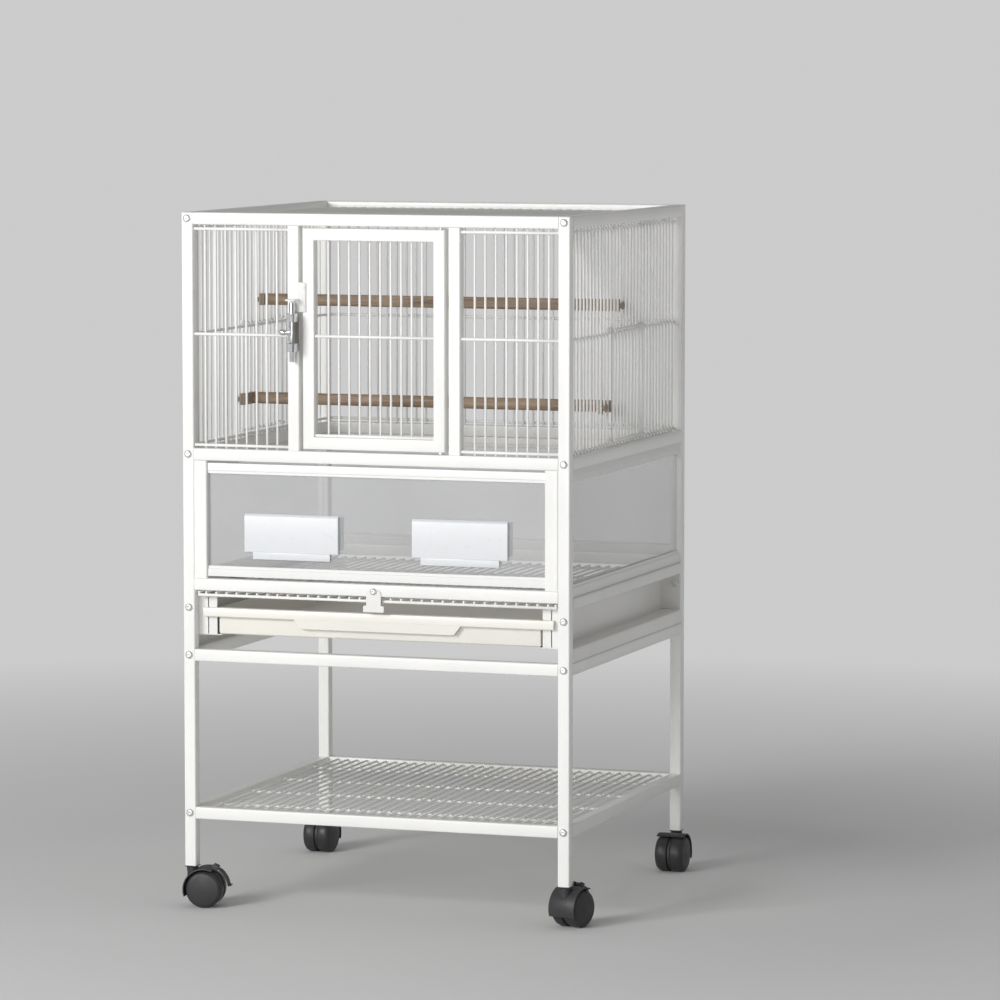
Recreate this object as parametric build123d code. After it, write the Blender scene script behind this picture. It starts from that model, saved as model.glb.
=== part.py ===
from build123d import *
import math
import os

os.makedirs("parts", exist_ok=True)

# A parrot cage on a wheeled stand, in millimetres.
# The origin is on the floor under the middle of the cage. Z is up, the door faces -Y, X is to the right.

# Square tube that the whole frame is made of
cage_width = 540.0
cage_depth = 512.0
tube = 16.0
tube_wall = 1.2
tube_corner = 1.2
cap_thickness = 1.0
cap_plug_margin = 1.5
plug_clearance = 0.1
cut_over = 1.0

# Welded wire
wire = 3.0
cross_wire = 4.0
wire_pitch = 14.5

# Casters
wheel_diameter = 50.0
wheel_width = 17.5
wheel_gap = 5.0
web_side_gap = 0.5
wheel_bevel = 3.0
wheel_rim = 5.0
axle_radius = 3.0
hub_wall = 5.0
web_inset = 20.0
web_rim = 0.5
caster_trail = 18.0
running_gap = 0.05
hood_gap = 1.5
hood_wall = 1.8
hood_start = 66.0
hood_end = 200.0
stem_radius = 4.0
stem_length = 22.0
boss_radius = 7.0
foot_flange = 1.5
seat_gap = 0.3
caster_yaw = {"fl": 10.0, "fr": 74.0, "rl": -90.0, "rr": -90.0}

# Brake lever of the front casters. Angles are degrees round the wheel's axle.
lever_pivot_rise = 3.8
lever_pivot_angle = 62.0
knuckle_radius = 2.6
knuckle_width = 9.0
knuckle_gap = 0.2
pivot_radius = 1.25
lug_thickness = 2.0
lug_before = 4.0
lug_after = 10.0
lever_rise = 2.4
lever_thickness = 2.2
lever_width = 14.0
lever_start = 52.0
lever_end = 8.0
lever_overlap = 1.0

# Levels of the stand
leg_clearance = 0.7
shelf_rail_z = 119.0
stand_rail_z = 331.0
shelf_wire_drop = 1.5
shelf_cross_pitch = 117.0
shelf_cross_rows = (-1.5, -0.5, 0.5, 1.5)

# Levels of the cage, each counted from the one below
base_band = 18.0
grille_rise = 51.0
side_band = 15.5
grille_headroom = 1.4
guard_opening = 157.0
upper_opening = 296.0

# Pressed side panels that carry the tray and the floor grille
sheet = 1.2
recess_depth = 29.0
ledge_reach = 48.0
tab_reach = 42.0
runner_bolt_drop = 13.4

# Tray
tray_side_gap = 2.0
tray_wall = 1.8
tray_height = 35.8
tray_lip_height = 12.3
tray_lip_depth = 6.7
tray_lip_side_gap = 9.0
tray_pull_width = 211.0
tray_pull_drop = 12.0
tray_rear_gap = 6.0

# Floor grille and its pull tab
grille_side_gap = 3.0
grille_front_inset = 6.0
grille_cross_count = 5
grille_seat = 0.2
tab_foot_drop = 2.0
tab_width = 20.5
tab_foot_width = 29.0
tab_foot_height = 8.5
tab_sheet = 1.5
tab_rise = 10.5
tab_screw_rise = 7.0
tab_screw_radius = 2.5
tab_screw_head = 4.5
tab_screw_reach = 4.0

# Front door
door_opening = 208.0
door_side_gap = 5.0
door_end_gap = 3.0
pin_radius = 2.5
pin_reach = 5.0
pin_collar = 4.5
pin_plug = 12.0
panel_cross_inset = 5.6
low_cross_drop = 1.0
roof_drop = 1.0
mid_cross_rise = 151.5

# Latch
latch_width = 15.0
latch_height = 50.0
latch_depth = 17.0
latch_wall = 1.5
latch_rise = 131.5
latch_plate_height = 50.0
latch_plate_depth = 22.0
rod_radius = 4.0
rod_offset = 1.5
rod_gap = 0.3
rod_below = 14.0
rod_above = 15.0
rod_travel = 12.0
knob_radius = 4.0
knob_reach = 13.0
ear_thickness = 2.0
ear_gap = 1.5
ear_margin = 4.0
catch_margin = 12.0
catch_overlap = 9.0
catch_reach = 0.5
catch_sheet = 2.0

# Clear guard round the lower part
clear_sheet = 2.0
channel_thickness = 10.0
channel_height = 14.0
channel_slot = 8.0
slot_clearance = 0.1
guard_stile_width = 18.0
flap_side_gap = 0.5
flap_top_gap = 3.1
flap_bottom_gap = 3.2
side_channel_height = 17.0

# Feeders in the front flap
feeder_width = 132.5
feeder_face_height = 51.0
feeder_face = 2.7
feeder_lip = 3.2
feeder_depth = 28.0
feeder_wall = 2.0
feeder_top_drop = 69.0
feeder_slack = 0.5
feeder_foot_width = 109.0
feeder_foot_height = 9.5
feeder_bevel = 2.2

# Perches
perch_radius = 8.0
perch_high_z = 800.0
perch_low_z = 668.0
perch_high_y = 0.0
perch_low_y = -45.0
perch_clip_width = 22.0
perch_clip_thickness = 4.0
perch_clip_foot = 6.0

# Side doors
side_door_first = -65.25
side_door_last = 79.75
side_wire_inset = 10.0
side_door_offset = 4.2
side_door_lift = 4.2
guide_gap = 0.45
guide_wall = 1.2
guide_height = 6.0

# Fasteners
bolt_sides = 6
bolt_radius = 3.0
bolt_hole_gap = 0.2
bolt_head_radius = 5.2
bolt_head_height = 3.0
bolt_reach = 12.0

# Places worked out from the sizes above
half_width = cage_width / 2
half_depth = cage_depth / 2
post_x = half_width - tube / 2
post_y = half_depth - tube / 2
inner_x = half_width - tube
inner_y = half_depth - tube
bore = tube - 2 * tube_wall
wheel_radius = wheel_diameter / 2
hood_inner = wheel_radius + hood_gap
hood_outer = hood_inner + hood_wall
leg_foot_z = wheel_radius + hood_outer + leg_clearance
cage_base_z = stand_rail_z + tube
ledge_z = cage_base_z + base_band
tray_seat_z = ledge_z + sheet
web_z = ledge_z + grille_rise
grille_seat_z = web_z + sheet
side_band_z = web_z + side_band
grille_cross_z = grille_seat_z + grille_seat + cross_wire / 2
grille_wire_z = grille_cross_z + (cross_wire + wire) / 2
lower_rail_z = grille_wire_z + wire / 2 + grille_headroom
lower_rail_top = lower_rail_z + tube
mid_rail_z = lower_rail_top + guard_opening
mid_rail_top = mid_rail_z + tube
top_rail_z = mid_rail_top + upper_opening
cage_height = top_rail_z + tube
runner_bolt_z = web_z - runner_bolt_drop
bolt_levels = [
    shelf_rail_z + tube / 2,
    stand_rail_z + tube / 2,
    runner_bolt_z,
    mid_rail_z + tube / 2,
    top_rail_z + tube / 2,
]
sides = {"left": -1, "right": 1}


def save(node, *solids):
    """Writes one named node from its solids."""
    shape = solids[0] if len(solids) == 1 else Compound(children=list(solids))
    export_step(shape, f"parts/{node}.step")


def span(corner, opposite):
    """A box between two opposite corners."""
    middle = [(a + b) / 2 for a, b in zip(corner, opposite)]
    size = [abs(b - a) for a, b in zip(corner, opposite)]
    return Pos(*middle) * Box(*size)


def bar_y(x, z, radius, y0, y1):
    """A round bar along Y."""
    return Pos(x, (y0 + y1) / 2, z) * Rot(90, 0, 0) * Cylinder(radius, abs(y1 - y0))


def bolt_bar(x, z, radius, y0, y1):
    """Bar or hole of a bolt or screw along Y, with few sides because there are so many of them."""
    section = Plane.XZ * RegularPolygon(radius, bolt_sides)
    return Pos(x, max(y0, y1), z) * extrude(section, abs(y1 - y0))


def bar_x(y, z, radius, x0, x1):
    """A round bar along X."""
    return Pos((x0 + x1) / 2, y, z) * Rot(0, 90, 0) * Cylinder(radius, abs(x1 - x0))


def bar_z(x, y, radius, z0, z1):
    """A round bar along Z."""
    return Pos(x, y, (z0 + z1) / 2) * Cylinder(radius, abs(z1 - z0))


def tube_outline(width=tube, depth=tube):
    """Outer outline of a tube, with its corners taken off."""
    outline = Rectangle(width, depth)
    return chamfer(outline.vertices(), tube_corner)


def tube_length(length, width=tube, depth=tube):
    """Rectangular tube standing on the origin."""
    section = tube_outline(width, depth) - Rectangle(width - 2 * tube_wall, depth - 2 * tube_wall)
    return extrude(section, length)


def upright(x, y, z0, z1, width=tube):
    return Pos(x, y, z0) * tube_length(z1 - z0, width)


def rail_along_x(y, z, x0, x1):
    return Pos(x0, y, z) * Rot(0, 90, 0) * tube_length(x1 - x0)


def rail_along_y(x, z, y0, y1):
    return Pos(x, y0, z) * Rot(-90, 0, 0) * tube_length(y1 - y0)


def wire_z(x, y, z0, z1):
    """A wire is a square bar of the wire's thickness."""
    return span((x - wire / 2, y - wire / 2, z0), (x + wire / 2, y + wire / 2, z1))


def wire_x(y, z, x0, x1, thickness=cross_wire):
    return span((x0, y - thickness / 2, z - thickness / 2), (x1, y + thickness / 2, z + thickness / 2))


def wire_y(x, z, y0, y1, thickness=cross_wire):
    return span((x - thickness / 2, y0, z - thickness / 2), (x + thickness / 2, y1, z + thickness / 2))


def grid(low, high):
    """Places of the wires of the shared grid that lie clear inside a gap."""
    first = math.ceil((low + wire_pitch / 2) / wire_pitch - 0.5)
    last = math.floor((high - wire_pitch / 2) / wire_pitch - 0.5)
    return [(number + 0.5) * wire_pitch for number in range(first, last + 1)]


# Cage posts, with a bolt hole front to back at each level
def bolt_holes(x, y, levels):
    reach = tube
    return [bolt_bar(x, z, bolt_radius + bolt_hole_gap, y - reach, y + reach) for z in levels]


corners = {
    "front_left": (-post_x, -post_y),
    "front_right": (post_x, -post_y),
    "rear_left": (-post_x, post_y),
    "rear_right": (post_x, post_y),
}
for place, (x, y) in corners.items():
    post = upright(x, y, cage_base_z, cage_height - cap_thickness)
    save(f"cage_post_{place}", post - bolt_holes(x, y, bolt_levels[2:]))

stand_legs = [
    upright(x, y, leg_foot_z + foot_flange, cage_base_z) - bolt_holes(x, y, bolt_levels[:2])
    for x, y in corners.values()
]
save("stand_legs", *stand_legs)


def post_cap(x, y):
    """Plastic cap that closes a post: a flat top and a plug inside the tube."""
    top = Pos(x, y, cage_height - cap_thickness) * extrude(tube_outline(), cap_thickness)
    inside = bore - 2 * plug_clearance
    depth = tube / 2 - bolt_radius - cap_plug_margin
    plug = Pos(x, y, cage_height - cap_thickness) * extrude(Rectangle(inside, inside), -depth)
    return top + plug


save("post_caps", *[post_cap(x, y) for x, y in corners.values()])

# Rails of the cage
hinge_x = door_opening / 2 - door_side_gap - tube / 2
hinge_y = -post_y
pin_hole = pin_radius + running_gap
top_front = rail_along_x(-post_y, top_rail_z + tube / 2, -inner_x, inner_x)
top_front -= bar_z(hinge_x, hinge_y, pin_hole, top_rail_z - cut_over, top_rail_z + tube_wall + cut_over)
save("top_rail_front", top_front)
mid_front = rail_along_x(-post_y, mid_rail_z + tube / 2, -inner_x, inner_x)
mid_front -= bar_z(hinge_x, hinge_y, pin_hole, mid_rail_top - tube_wall - cut_over, mid_rail_top + cut_over)
save("mid_rail_front", mid_front)
tab_screw_z = lower_rail_z + tab_screw_rise
lower_front = rail_along_x(-post_y, lower_rail_z + tube / 2, -inner_x, inner_x)
tab_screw_hole = tab_screw_radius + bolt_hole_gap
lower_front -= bolt_bar(0, tab_screw_z, tab_screw_hole, -half_depth - cut_over, -inner_y + cut_over)
save("lower_rail_front", lower_front)
rear_levels = (lower_rail_z, mid_rail_z, top_rail_z)
save("rear_rails", *[rail_along_x(post_y, z + tube / 2, -inner_x, inner_x) for z in rear_levels])
for name, z in (("top", top_rail_z), ("mid", mid_rail_z)):
    save(
        f"{name}_rails_side",
        *[rail_along_y(sign * post_x, z + tube / 2, -inner_y, inner_y) for sign in sides.values()],
    )


def ring_of_rails(z):
    """Four rails of the stand at one level."""
    return [
        rail_along_x(-post_y, z + tube / 2, -inner_x, inner_x),
        rail_along_x(post_y, z + tube / 2, -inner_x, inner_x),
        rail_along_y(-post_x, z + tube / 2, -inner_y, inner_y),
        rail_along_y(post_x, z + tube / 2, -inner_y, inner_y),
    ]


save("stand_rails", *ring_of_rails(stand_rail_z))
save("shelf_rails", *ring_of_rails(shelf_rail_z))

# Stiles each side of the door and each side of the front guard
stile_x = (door_opening + tube) / 2
front_stiles = [upright(sign * stile_x, -post_y, mid_rail_top, top_rail_z) for sign in sides.values()]
guard_stile_x = inner_x - guard_stile_width / 2
flap_half = inner_x - guard_stile_width - flap_side_gap
flap_top = mid_rail_z - flap_top_gap
flap_bottom = lower_rail_top + flap_bottom_gap
flap_axis_z = flap_top - channel_height / 2


def guard_stile(sign):
    body = upright(sign * guard_stile_x, -post_y, lower_rail_top, mid_rail_z, guard_stile_width)
    inner_face = sign * (inner_x - guard_stile_width)
    reach = tube_wall + cut_over
    hole = bar_x(-post_y, flap_axis_z, pin_hole, inner_face - reach, inner_face + reach)
    return body - hole


front_stiles += [guard_stile(sign) for sign in sides.values()]
save("front_stiles", *front_stiles)

# Wire panels
cross_low = mid_rail_top + panel_cross_inset - low_cross_drop
cross_mid = mid_rail_top + mid_cross_rise
cross_high = top_rail_z - panel_cross_inset
front_cross_y = -post_y - (wire + cross_wire) / 2
rear_cross_y = post_y + (wire + cross_wire) / 2


def front_panel(x0, x1):
    wires = [wire_z(x, -post_y, mid_rail_top, top_rail_z) for x in grid(x0, x1)]
    wires += [wire_x(front_cross_y, z, x0, x1) for z in (cross_low, cross_mid, cross_high)]
    return wires


save("panel_front_left", *front_panel(-inner_x, -door_opening / 2 - tube))
save("panel_front_right", *front_panel(door_opening / 2 + tube, inner_x))

rear_wires = [wire_z(x, post_y, mid_rail_top, top_rail_z) for x in grid(-inner_x, inner_x)]
rear_wires += [wire_x(rear_cross_y, z, -inner_x, inner_x) for z in (cross_low, cross_mid, cross_high)]
save("panel_rear", *rear_wires)

roof_z = top_rail_z + tube / 2 - roof_drop
roof_cross_z = roof_z - (wire + cross_wire) / 2
roof_wires = [wire_y(x, roof_z, -inner_y, inner_y, wire) for x in grid(-inner_x, inner_x)]
roof_wires += [
    wire_x(row * shelf_cross_pitch, roof_cross_z, -inner_x, inner_x)
    for row in shelf_cross_rows
]
save("panel_roof", *roof_wires)

side_wire_x = half_width - side_wire_inset
side_cross_x = side_wire_x - (wire + cross_wire) / 2
side_door_x = side_wire_x + side_door_offset
side_door_cross_x = side_door_x + (wire + cross_wire) / 2


def side_panel(sign):
    """Wire panel of one side, with the wires left out where the lift-up door is."""
    wires = []
    for y in grid(-inner_y, inner_y):
        if side_door_first < y < side_door_last:
            wires.append(wire_z(sign * side_wire_x, y, mid_rail_top, cross_low + cross_wire / 2))
            wires.append(wire_z(sign * side_wire_x, y, cross_mid - cross_wire / 2, top_rail_z))
        else:
            wires.append(wire_z(sign * side_wire_x, y, mid_rail_top, top_rail_z))
    wires += [wire_y(sign * side_cross_x, z, -inner_y, inner_y) for z in (cross_low, cross_mid, cross_high)]
    return wires


def guide_ring(sign, y, z, toward):
    """Square eye of a side door that runs up and down one wire of the panel."""
    hole = wire + 2 * guide_gap
    outside = hole + 2 * guide_wall
    section = Rectangle(outside, outside) - Rectangle(hole, hole)
    frame = Pos(sign * side_wire_x, y, z) * extrude(section, guide_height)
    near = sign * (side_wire_x + outside / 2 - guide_wall)
    far = sign * (side_door_x - wire / 2)
    arm_start = y + toward * outside / 2
    arm_end = y + toward * (wire_pitch + wire) / 2
    return frame + span((near, arm_start, z), (far, arm_end, z + guide_height))


def side_door(sign):
    """Lift-up door of one side: wires between a top and a bottom wire, with four guide eyes."""
    low = cross_low + side_door_lift
    high = cross_mid + side_door_lift
    bottom = low - cross_wire / 2
    top = high + cross_wire / 2
    first = side_door_first + wire_pitch / 2
    last = side_door_last - wire_pitch / 2
    count = round((last - first) / wire_pitch)
    places = [first + number * wire_pitch for number in range(count + 1)]
    wires = [wire_z(sign * side_door_x, y, bottom, top) for y in places]
    wires += [wire_y(sign * side_door_cross_x, z, first - wire / 2, last + wire / 2) for z in (low, high)]
    for y, toward in ((side_door_first, 1), (side_door_last, -1)):
        for z in (cross_low + cross_wire / 2 + seat_gap, cross_mid + cross_wire / 2 + seat_gap):
            wires.append(guide_ring(sign, y, z, toward))
    return wires


for side, sign in sides.items():
    save(f"panel_{side}", *side_panel(sign))
    save(f"side_door_{side}", *side_door(sign))

# Front door
door_half = door_opening / 2 - door_side_gap
door_low = mid_rail_top + door_end_gap
door_high = top_rail_z - door_end_gap
door_inside = door_half - tube
door_rail_levels = (door_low + tube / 2, door_high - tube / 2)
door_stile_x = door_half - tube / 2
door_frame = [upright(sign * door_stile_x, -post_y, door_low, door_high) for sign in sides.values()]
door_frame += [rail_along_x(-post_y, z, -door_inside, door_inside) for z in door_rail_levels]
save("door_frame", *door_frame)
door_cross_low = door_low + tube + cross_wire / 2
door_wires = [
    wire_z(x, -post_y, door_low + tube, door_high - tube)
    for x in grid(-door_inside, door_inside)
]
door_wires += [wire_x(front_cross_y, z, -door_inside, door_inside) for z in (door_cross_low, cross_mid)]
save("door_wires", *door_wires)


def door_plug(sign, end_z, up):
    """Plug in the end of a door tube. On the hinge side it carries the pivot pin."""
    inside = bore - 2 * plug_clearance
    x = sign * door_stile_x
    plug = Pos(x, -post_y, end_z) * extrude(Rectangle(inside, inside), -up * pin_plug)
    if sign < 0:
        return plug
    tip = end_z + up * (door_end_gap + pin_reach)
    pin = bar_z(x, -post_y, pin_radius, end_z, tip)
    if up > 0:
        return plug + pin
    collar_end = end_z - door_end_gap + seat_gap
    return plug + pin + bar_z(x, -post_y, pin_collar, collar_end, end_z)


door_ends = ((door_low, -1), (door_high, 1))
save("door_pivots", *[door_plug(sign, z, up) for sign in sides.values() for z, up in door_ends])

# Latch: a case on the left stile, a sliding rod with a knob, and a catch on the door
latch_x = -door_opening / 2 - latch_width / 2
latch_z = mid_rail_top + latch_rise
latch_top = latch_z + latch_height
rod_y = -half_depth - latch_depth / 2
rod_x = latch_x + rod_offset


def latch_case():
    """U-shaped case, open to the left, with a rod hole in each end and a plate along its right side."""
    low = (latch_x - latch_width / 2, -half_depth - latch_depth, latch_z)
    high = (latch_x + latch_width / 2, -half_depth, latch_top)
    shell = span(low, high)
    inner_low = (low[0] - cut_over, low[1] + latch_wall, low[2] + latch_wall)
    inner_high = (high[0] - latch_wall, high[1] - latch_wall, high[2] - latch_wall)
    shell -= span(inner_low, inner_high)
    shell -= bar_z(rod_x, rod_y, rod_radius + rod_gap, latch_z - cut_over, latch_top + cut_over)
    plate = span(
        (high[0] - latch_wall, -half_depth - latch_plate_depth, latch_z),
        (high[0], -half_depth, latch_z + latch_plate_height),
    )
    return shell + plate


def latch_rod():
    """Round rod with a knob on its left that slides up into the catch."""
    rod = bar_z(rod_x, rod_y, rod_radius, latch_z - rod_below, latch_top + rod_above)
    knob_z = latch_z + latch_height / 2
    return rod + bar_x(rod_y, knob_z, knob_radius, rod_x - knob_reach - rod_radius, rod_x)


def door_catch():
    """Plate on the door with an ear over the rod."""
    low = latch_top + ear_gap
    high = low + rod_above + rod_travel + catch_margin
    left = -door_opening / 2 - catch_reach
    plate = span((left, -half_depth - catch_sheet, low), (-door_half + catch_overlap, -half_depth, high))
    ear_z = latch_top + rod_above + ear_gap
    ear_top = ear_z + ear_thickness
    ear = span(
        (rod_x - rod_radius - ear_margin, -half_depth - latch_depth, ear_z),
        (left + catch_sheet, -half_depth - catch_reach, ear_top),
    )
    ear -= bar_z(rod_x, rod_y, rod_radius + rod_gap, ear_z - cut_over, ear_top + cut_over)
    return plate + ear


save("latch_case", latch_case())
save("latch_rod", latch_rod())
save("door_catch", door_catch())

# Clear guard: sheets held in channels
slot_half = clear_sheet / 2 + slot_clearance


def channel_section(height):
    """U-shaped channel, open side up, with its back on the X axis of the sketch."""
    profile = Pos(0, height / 2) * Rectangle(channel_thickness, height)
    slot = Pos(0, height - channel_slot / 2) * Rectangle(2 * slot_half, channel_slot)
    return profile - slot


def channel_x(y, z, x0, x1, height, opens_up):
    section = channel_section(height)
    turned = section if opens_up else mirror(section, about=Plane.XZ)
    return Pos(x0, y, z) * extrude(Plane.YZ * turned, x1 - x0)


def channel_y(x, z, y0, y1, height, opens_up):
    section = channel_section(height)
    turned = section if opens_up else mirror(section, about=Plane.XZ)
    return Pos(x, y1, z) * extrude(Plane.XZ * turned, y1 - y0)


def sheet_edge(channel_end, opens_up):
    """Level of the sheet's edge inside its channel."""
    inset = channel_slot - seat_gap
    return channel_end - inset if opens_up else channel_end + inset


guard_channels = [
    channel_x(post_y, lower_rail_top, -inner_x, inner_x, channel_height, True),
    channel_x(post_y, mid_rail_z, -inner_x, inner_x, channel_height, False),
]
for sign in sides.values():
    for z, opens_up in ((side_band_z, True), (mid_rail_z, False)):
        guard_channels.append(channel_y(sign * post_x, z, -inner_y, inner_y, side_channel_height, opens_up))
save("guard_channels", *guard_channels)

rear_low = sheet_edge(lower_rail_top + channel_height, True)
rear_high = sheet_edge(mid_rail_z - channel_height, False)
half_sheet = clear_sheet / 2
rear_half = inner_x - seat_gap
rear_sheet = span((-rear_half, post_y - half_sheet, rear_low), (rear_half, post_y + half_sheet, rear_high))
save("guard_sheet_rear", rear_sheet)
side_low = sheet_edge(side_band_z + side_channel_height, True)
side_high = sheet_edge(mid_rail_z - side_channel_height, False)
side_half = inner_y - seat_gap
for side, sign in sides.items():
    x = sign * post_x
    side_sheet = span((x - half_sheet, -side_half, side_low), (x + half_sheet, side_half, side_high))
    save(f"guard_sheet_{side}", side_sheet)

# Front flap: two channels and a clear sheet with two feeder windows, hung from pins at its top
flap_top_channel = channel_x(-post_y, flap_top, -flap_half, flap_half, channel_height, False)
for sign in sides.values():
    tip = sign * (flap_half + flap_side_gap + pin_reach)
    base = sign * flap_half
    flap_top_channel += bar_x(-post_y, flap_axis_z, pin_radius, base, tip)
flap_bottom_channel = channel_x(-post_y, flap_bottom, -flap_half, flap_half, channel_height, True)
save("flap_channels", flap_top_channel, flap_bottom_channel)

feeder_centre = flap_half / 2
feeder_top = mid_rail_z - feeder_top_drop
feeder_bottom = feeder_top - feeder_face_height
sheet_front = -post_y - half_sheet
cup_half = feeder_width / 2 - feeder_lip
cup_top = feeder_top - feeder_lip
cup_bottom = feeder_bottom + feeder_lip
flap_sheet = span(
    (-flap_half, sheet_front, sheet_edge(flap_bottom + channel_height, True)),
    (flap_half, sheet_front + clear_sheet, sheet_edge(flap_top - channel_height, False)),
)
for sign in sides.values():
    x = sign * feeder_centre
    flap_sheet -= span(
        (x - cup_half - feeder_slack, sheet_front - cut_over, cup_bottom - seat_gap),
        (x + cup_half + feeder_slack, sheet_front + clear_sheet + cut_over, cup_top + feeder_slack),
    )
save("flap_sheet", flap_sheet)


def feeder(sign):
    """Drawer-like seed cup: a face with a bevelled top outside the sheet, an open cup inside it."""
    x = sign * feeder_centre
    back = sheet_front - seat_gap
    front = back - feeder_face
    face = span((x - feeder_width / 2, front, feeder_bottom), (x + feeder_width / 2, back, feeder_top))
    face = chamfer(face.edges().group_by(Axis.Z)[-1].group_by(Axis.Y)[0], feeder_bevel)
    foot = span(
        (x - feeder_foot_width / 2, front, feeder_bottom - feeder_foot_height),
        (x + feeder_foot_width / 2, back, feeder_bottom),
    )
    inside = sheet_front + clear_sheet + feeder_depth
    cup = span((x - cup_half, back, cup_bottom), (x + cup_half, inside, cup_top))
    hollow = span(
        (x - cup_half + feeder_wall, back + feeder_wall, cup_bottom + feeder_wall),
        (x + cup_half - feeder_wall, inside - feeder_wall, cup_top + cut_over),
    )
    return face + foot + (cup - hollow)


for side, sign in sides.items():
    save(f"feeder_{side}", feeder(sign))


# Pressed side panels: flush bands above and below a recess, a tray ledge, and a bolted tab at each end
def plate(x0, x1, z0, z1):
    return Pos((x0 + x1) / 2, (z0 + z1) / 2) * Rectangle(x1 - x0, z1 - z0)


def runner_panel(sign):
    outer = half_width
    wall = half_width - recess_depth
    section = plate(inner_x, outer, cage_base_z, cage_base_z + sheet)
    section += plate(outer - sheet, outer, cage_base_z, tray_seat_z)
    section += plate(outer - ledge_reach, outer, ledge_z, tray_seat_z)
    section += plate(wall - sheet, wall, tray_seat_z, web_z)
    section += plate(wall - sheet, outer, web_z, grille_seat_z)
    section += plate(outer - sheet, outer, grille_seat_z, side_band_z)
    section += plate(inner_x, outer, side_band_z - sheet, side_band_z)
    panel = Pos(0, inner_y, 0) * extrude(Plane.XZ * section, 2 * inner_y)
    for end in (-1, 1):
        face = end * inner_y
        tab = span((outer - tab_reach, face, tray_seat_z), (outer - sheet, face - end * sheet, web_z))
        reach = sheet + cut_over
        tab -= bolt_bar(post_x, runner_bolt_z, bolt_radius + bolt_hole_gap, face - reach, face + reach)
        panel += tab
    return panel if sign > 0 else mirror(panel, about=Plane.YZ)


for side, sign in sides.items():
    save(f"runner_panel_{side}", runner_panel(sign))


# Tray: an open box with a lip across its front and a deeper pull in the middle
def tray():
    half = half_width - tab_reach - tray_side_gap
    bottom = tray_seat_z + seat_gap
    top = bottom + tray_height
    front = -inner_y + seat_gap
    rear = inner_y - tray_rear_gap
    body = span((-half, front, bottom), (half, rear, top))
    inside = half - tray_wall
    body -= span(
        (-inside, front + tray_wall, bottom + tray_wall),
        (inside, rear - tray_wall, top + cut_over),
    )
    lip_half = inner_x - tray_lip_side_gap
    lip_back = front - 2 * seat_gap
    lip_front = lip_back - tray_lip_depth
    body += span((-lip_half, lip_front, top - tray_wall), (lip_half, lip_back, top))
    body += span((-half, lip_back, top - tray_wall), (half, front, top))
    low = top - tray_lip_height
    body += span((-lip_half, lip_front, low), (lip_half, lip_front + tray_wall, top))
    narrow = tray_pull_width / 2
    wide = narrow + tray_pull_drop
    foot = low - tray_pull_drop
    pull = Polygon((-wide, low), (-narrow, foot), (narrow, foot), (wide, low), align=None)
    body += Pos(0, lip_front + tray_wall, 0) * extrude(Plane.XZ * pull, tray_wall)
    return body


save("tray", tray())

# Floor grille with its front tab and the screw that holds the tab to the rail
grille_half = inner_x - grille_side_gap
grille_front = -half_depth + grille_front_inset
grille_rear = inner_y - grille_side_gap
grille_edge = grille_half - wire / 2
grille_wires = [
    wire_y(x, grille_wire_z, grille_front - cross_wire / 2, grille_rear, wire)
    for x in [-grille_edge, *grid(-grille_half, grille_half), grille_edge]
]
grille_step = (grille_rear - cross_wire / 2 - grille_front) / (grille_cross_count - 1)
grille_wires += [
    wire_x(grille_front + number * grille_step, grille_cross_z, -grille_half, grille_half)
    for number in range(grille_cross_count)
]
save("floor_grille", *grille_wires)


def grille_tab():
    """Tab in front of the lower rail: a wider foot below, and a return under the grille's front wire."""
    front = -half_depth - seat_gap - tab_sheet
    back = front + tab_sheet
    foot_top = grille_seat_z - sheet - tab_foot_drop
    half = tab_width / 2
    blade = span((-half, front, foot_top), (half, back, tab_screw_z + tab_rise - tab_screw_rise))
    blade += span(
        (-tab_foot_width / 2, front, foot_top - tab_foot_height), (tab_foot_width / 2, back, foot_top)
    )
    return_top = grille_cross_z - cross_wire / 2
    blade += span((-half, front, return_top - tab_sheet), (half, grille_front + cross_wire, return_top))
    blade -= bolt_bar(0, tab_screw_z, tab_screw_hole, front - cut_over, back + cut_over)
    return blade


def tab_screw():
    front = -half_depth - seat_gap - tab_sheet
    head = bolt_bar(0, tab_screw_z, tab_screw_head, front - bolt_head_height, front)
    head = chamfer(head.edges().group_by(Axis.Y)[0], bolt_head_height / 2)
    return head + bolt_bar(0, tab_screw_z, tab_screw_radius, front, -inner_y + tab_screw_reach)


save("grille_tab", grille_tab())
save("grille_screw", tab_screw())

# Shelf of the stand
shelf_wire_z = shelf_rail_z + tube - shelf_wire_drop - wire / 2
shelf_cross_z = shelf_wire_z - (wire + cross_wire) / 2
shelf_wires = [wire_y(x, shelf_wire_z, -inner_y, inner_y, wire) for x in grid(-inner_x, inner_x)]
shelf_wires += [
    wire_x(row * shelf_cross_pitch, shelf_cross_z, -inner_x, inner_x)
    for row in shelf_cross_rows
]
save("shelf_grille", *shelf_wires)

# Perches, each held at both ends by a clip on the side wires
perch_half = side_cross_x - cross_wire / 2 - perch_clip_thickness
perches = [("perch_high", perch_high_y, perch_high_z), ("perch_low", perch_low_y, perch_low_z)]


def clip_wire(y, z):
    """Place of the wire that a clip holds, which is never a wire that a lift-up door runs on."""
    below = (math.floor(y / wire_pitch - 0.5) + 0.5) * wire_pitch
    if z < cross_mid and side_door_first - wire_pitch < below < side_door_last + wire_pitch:
        return side_door_first - wire_pitch
    return below


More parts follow.
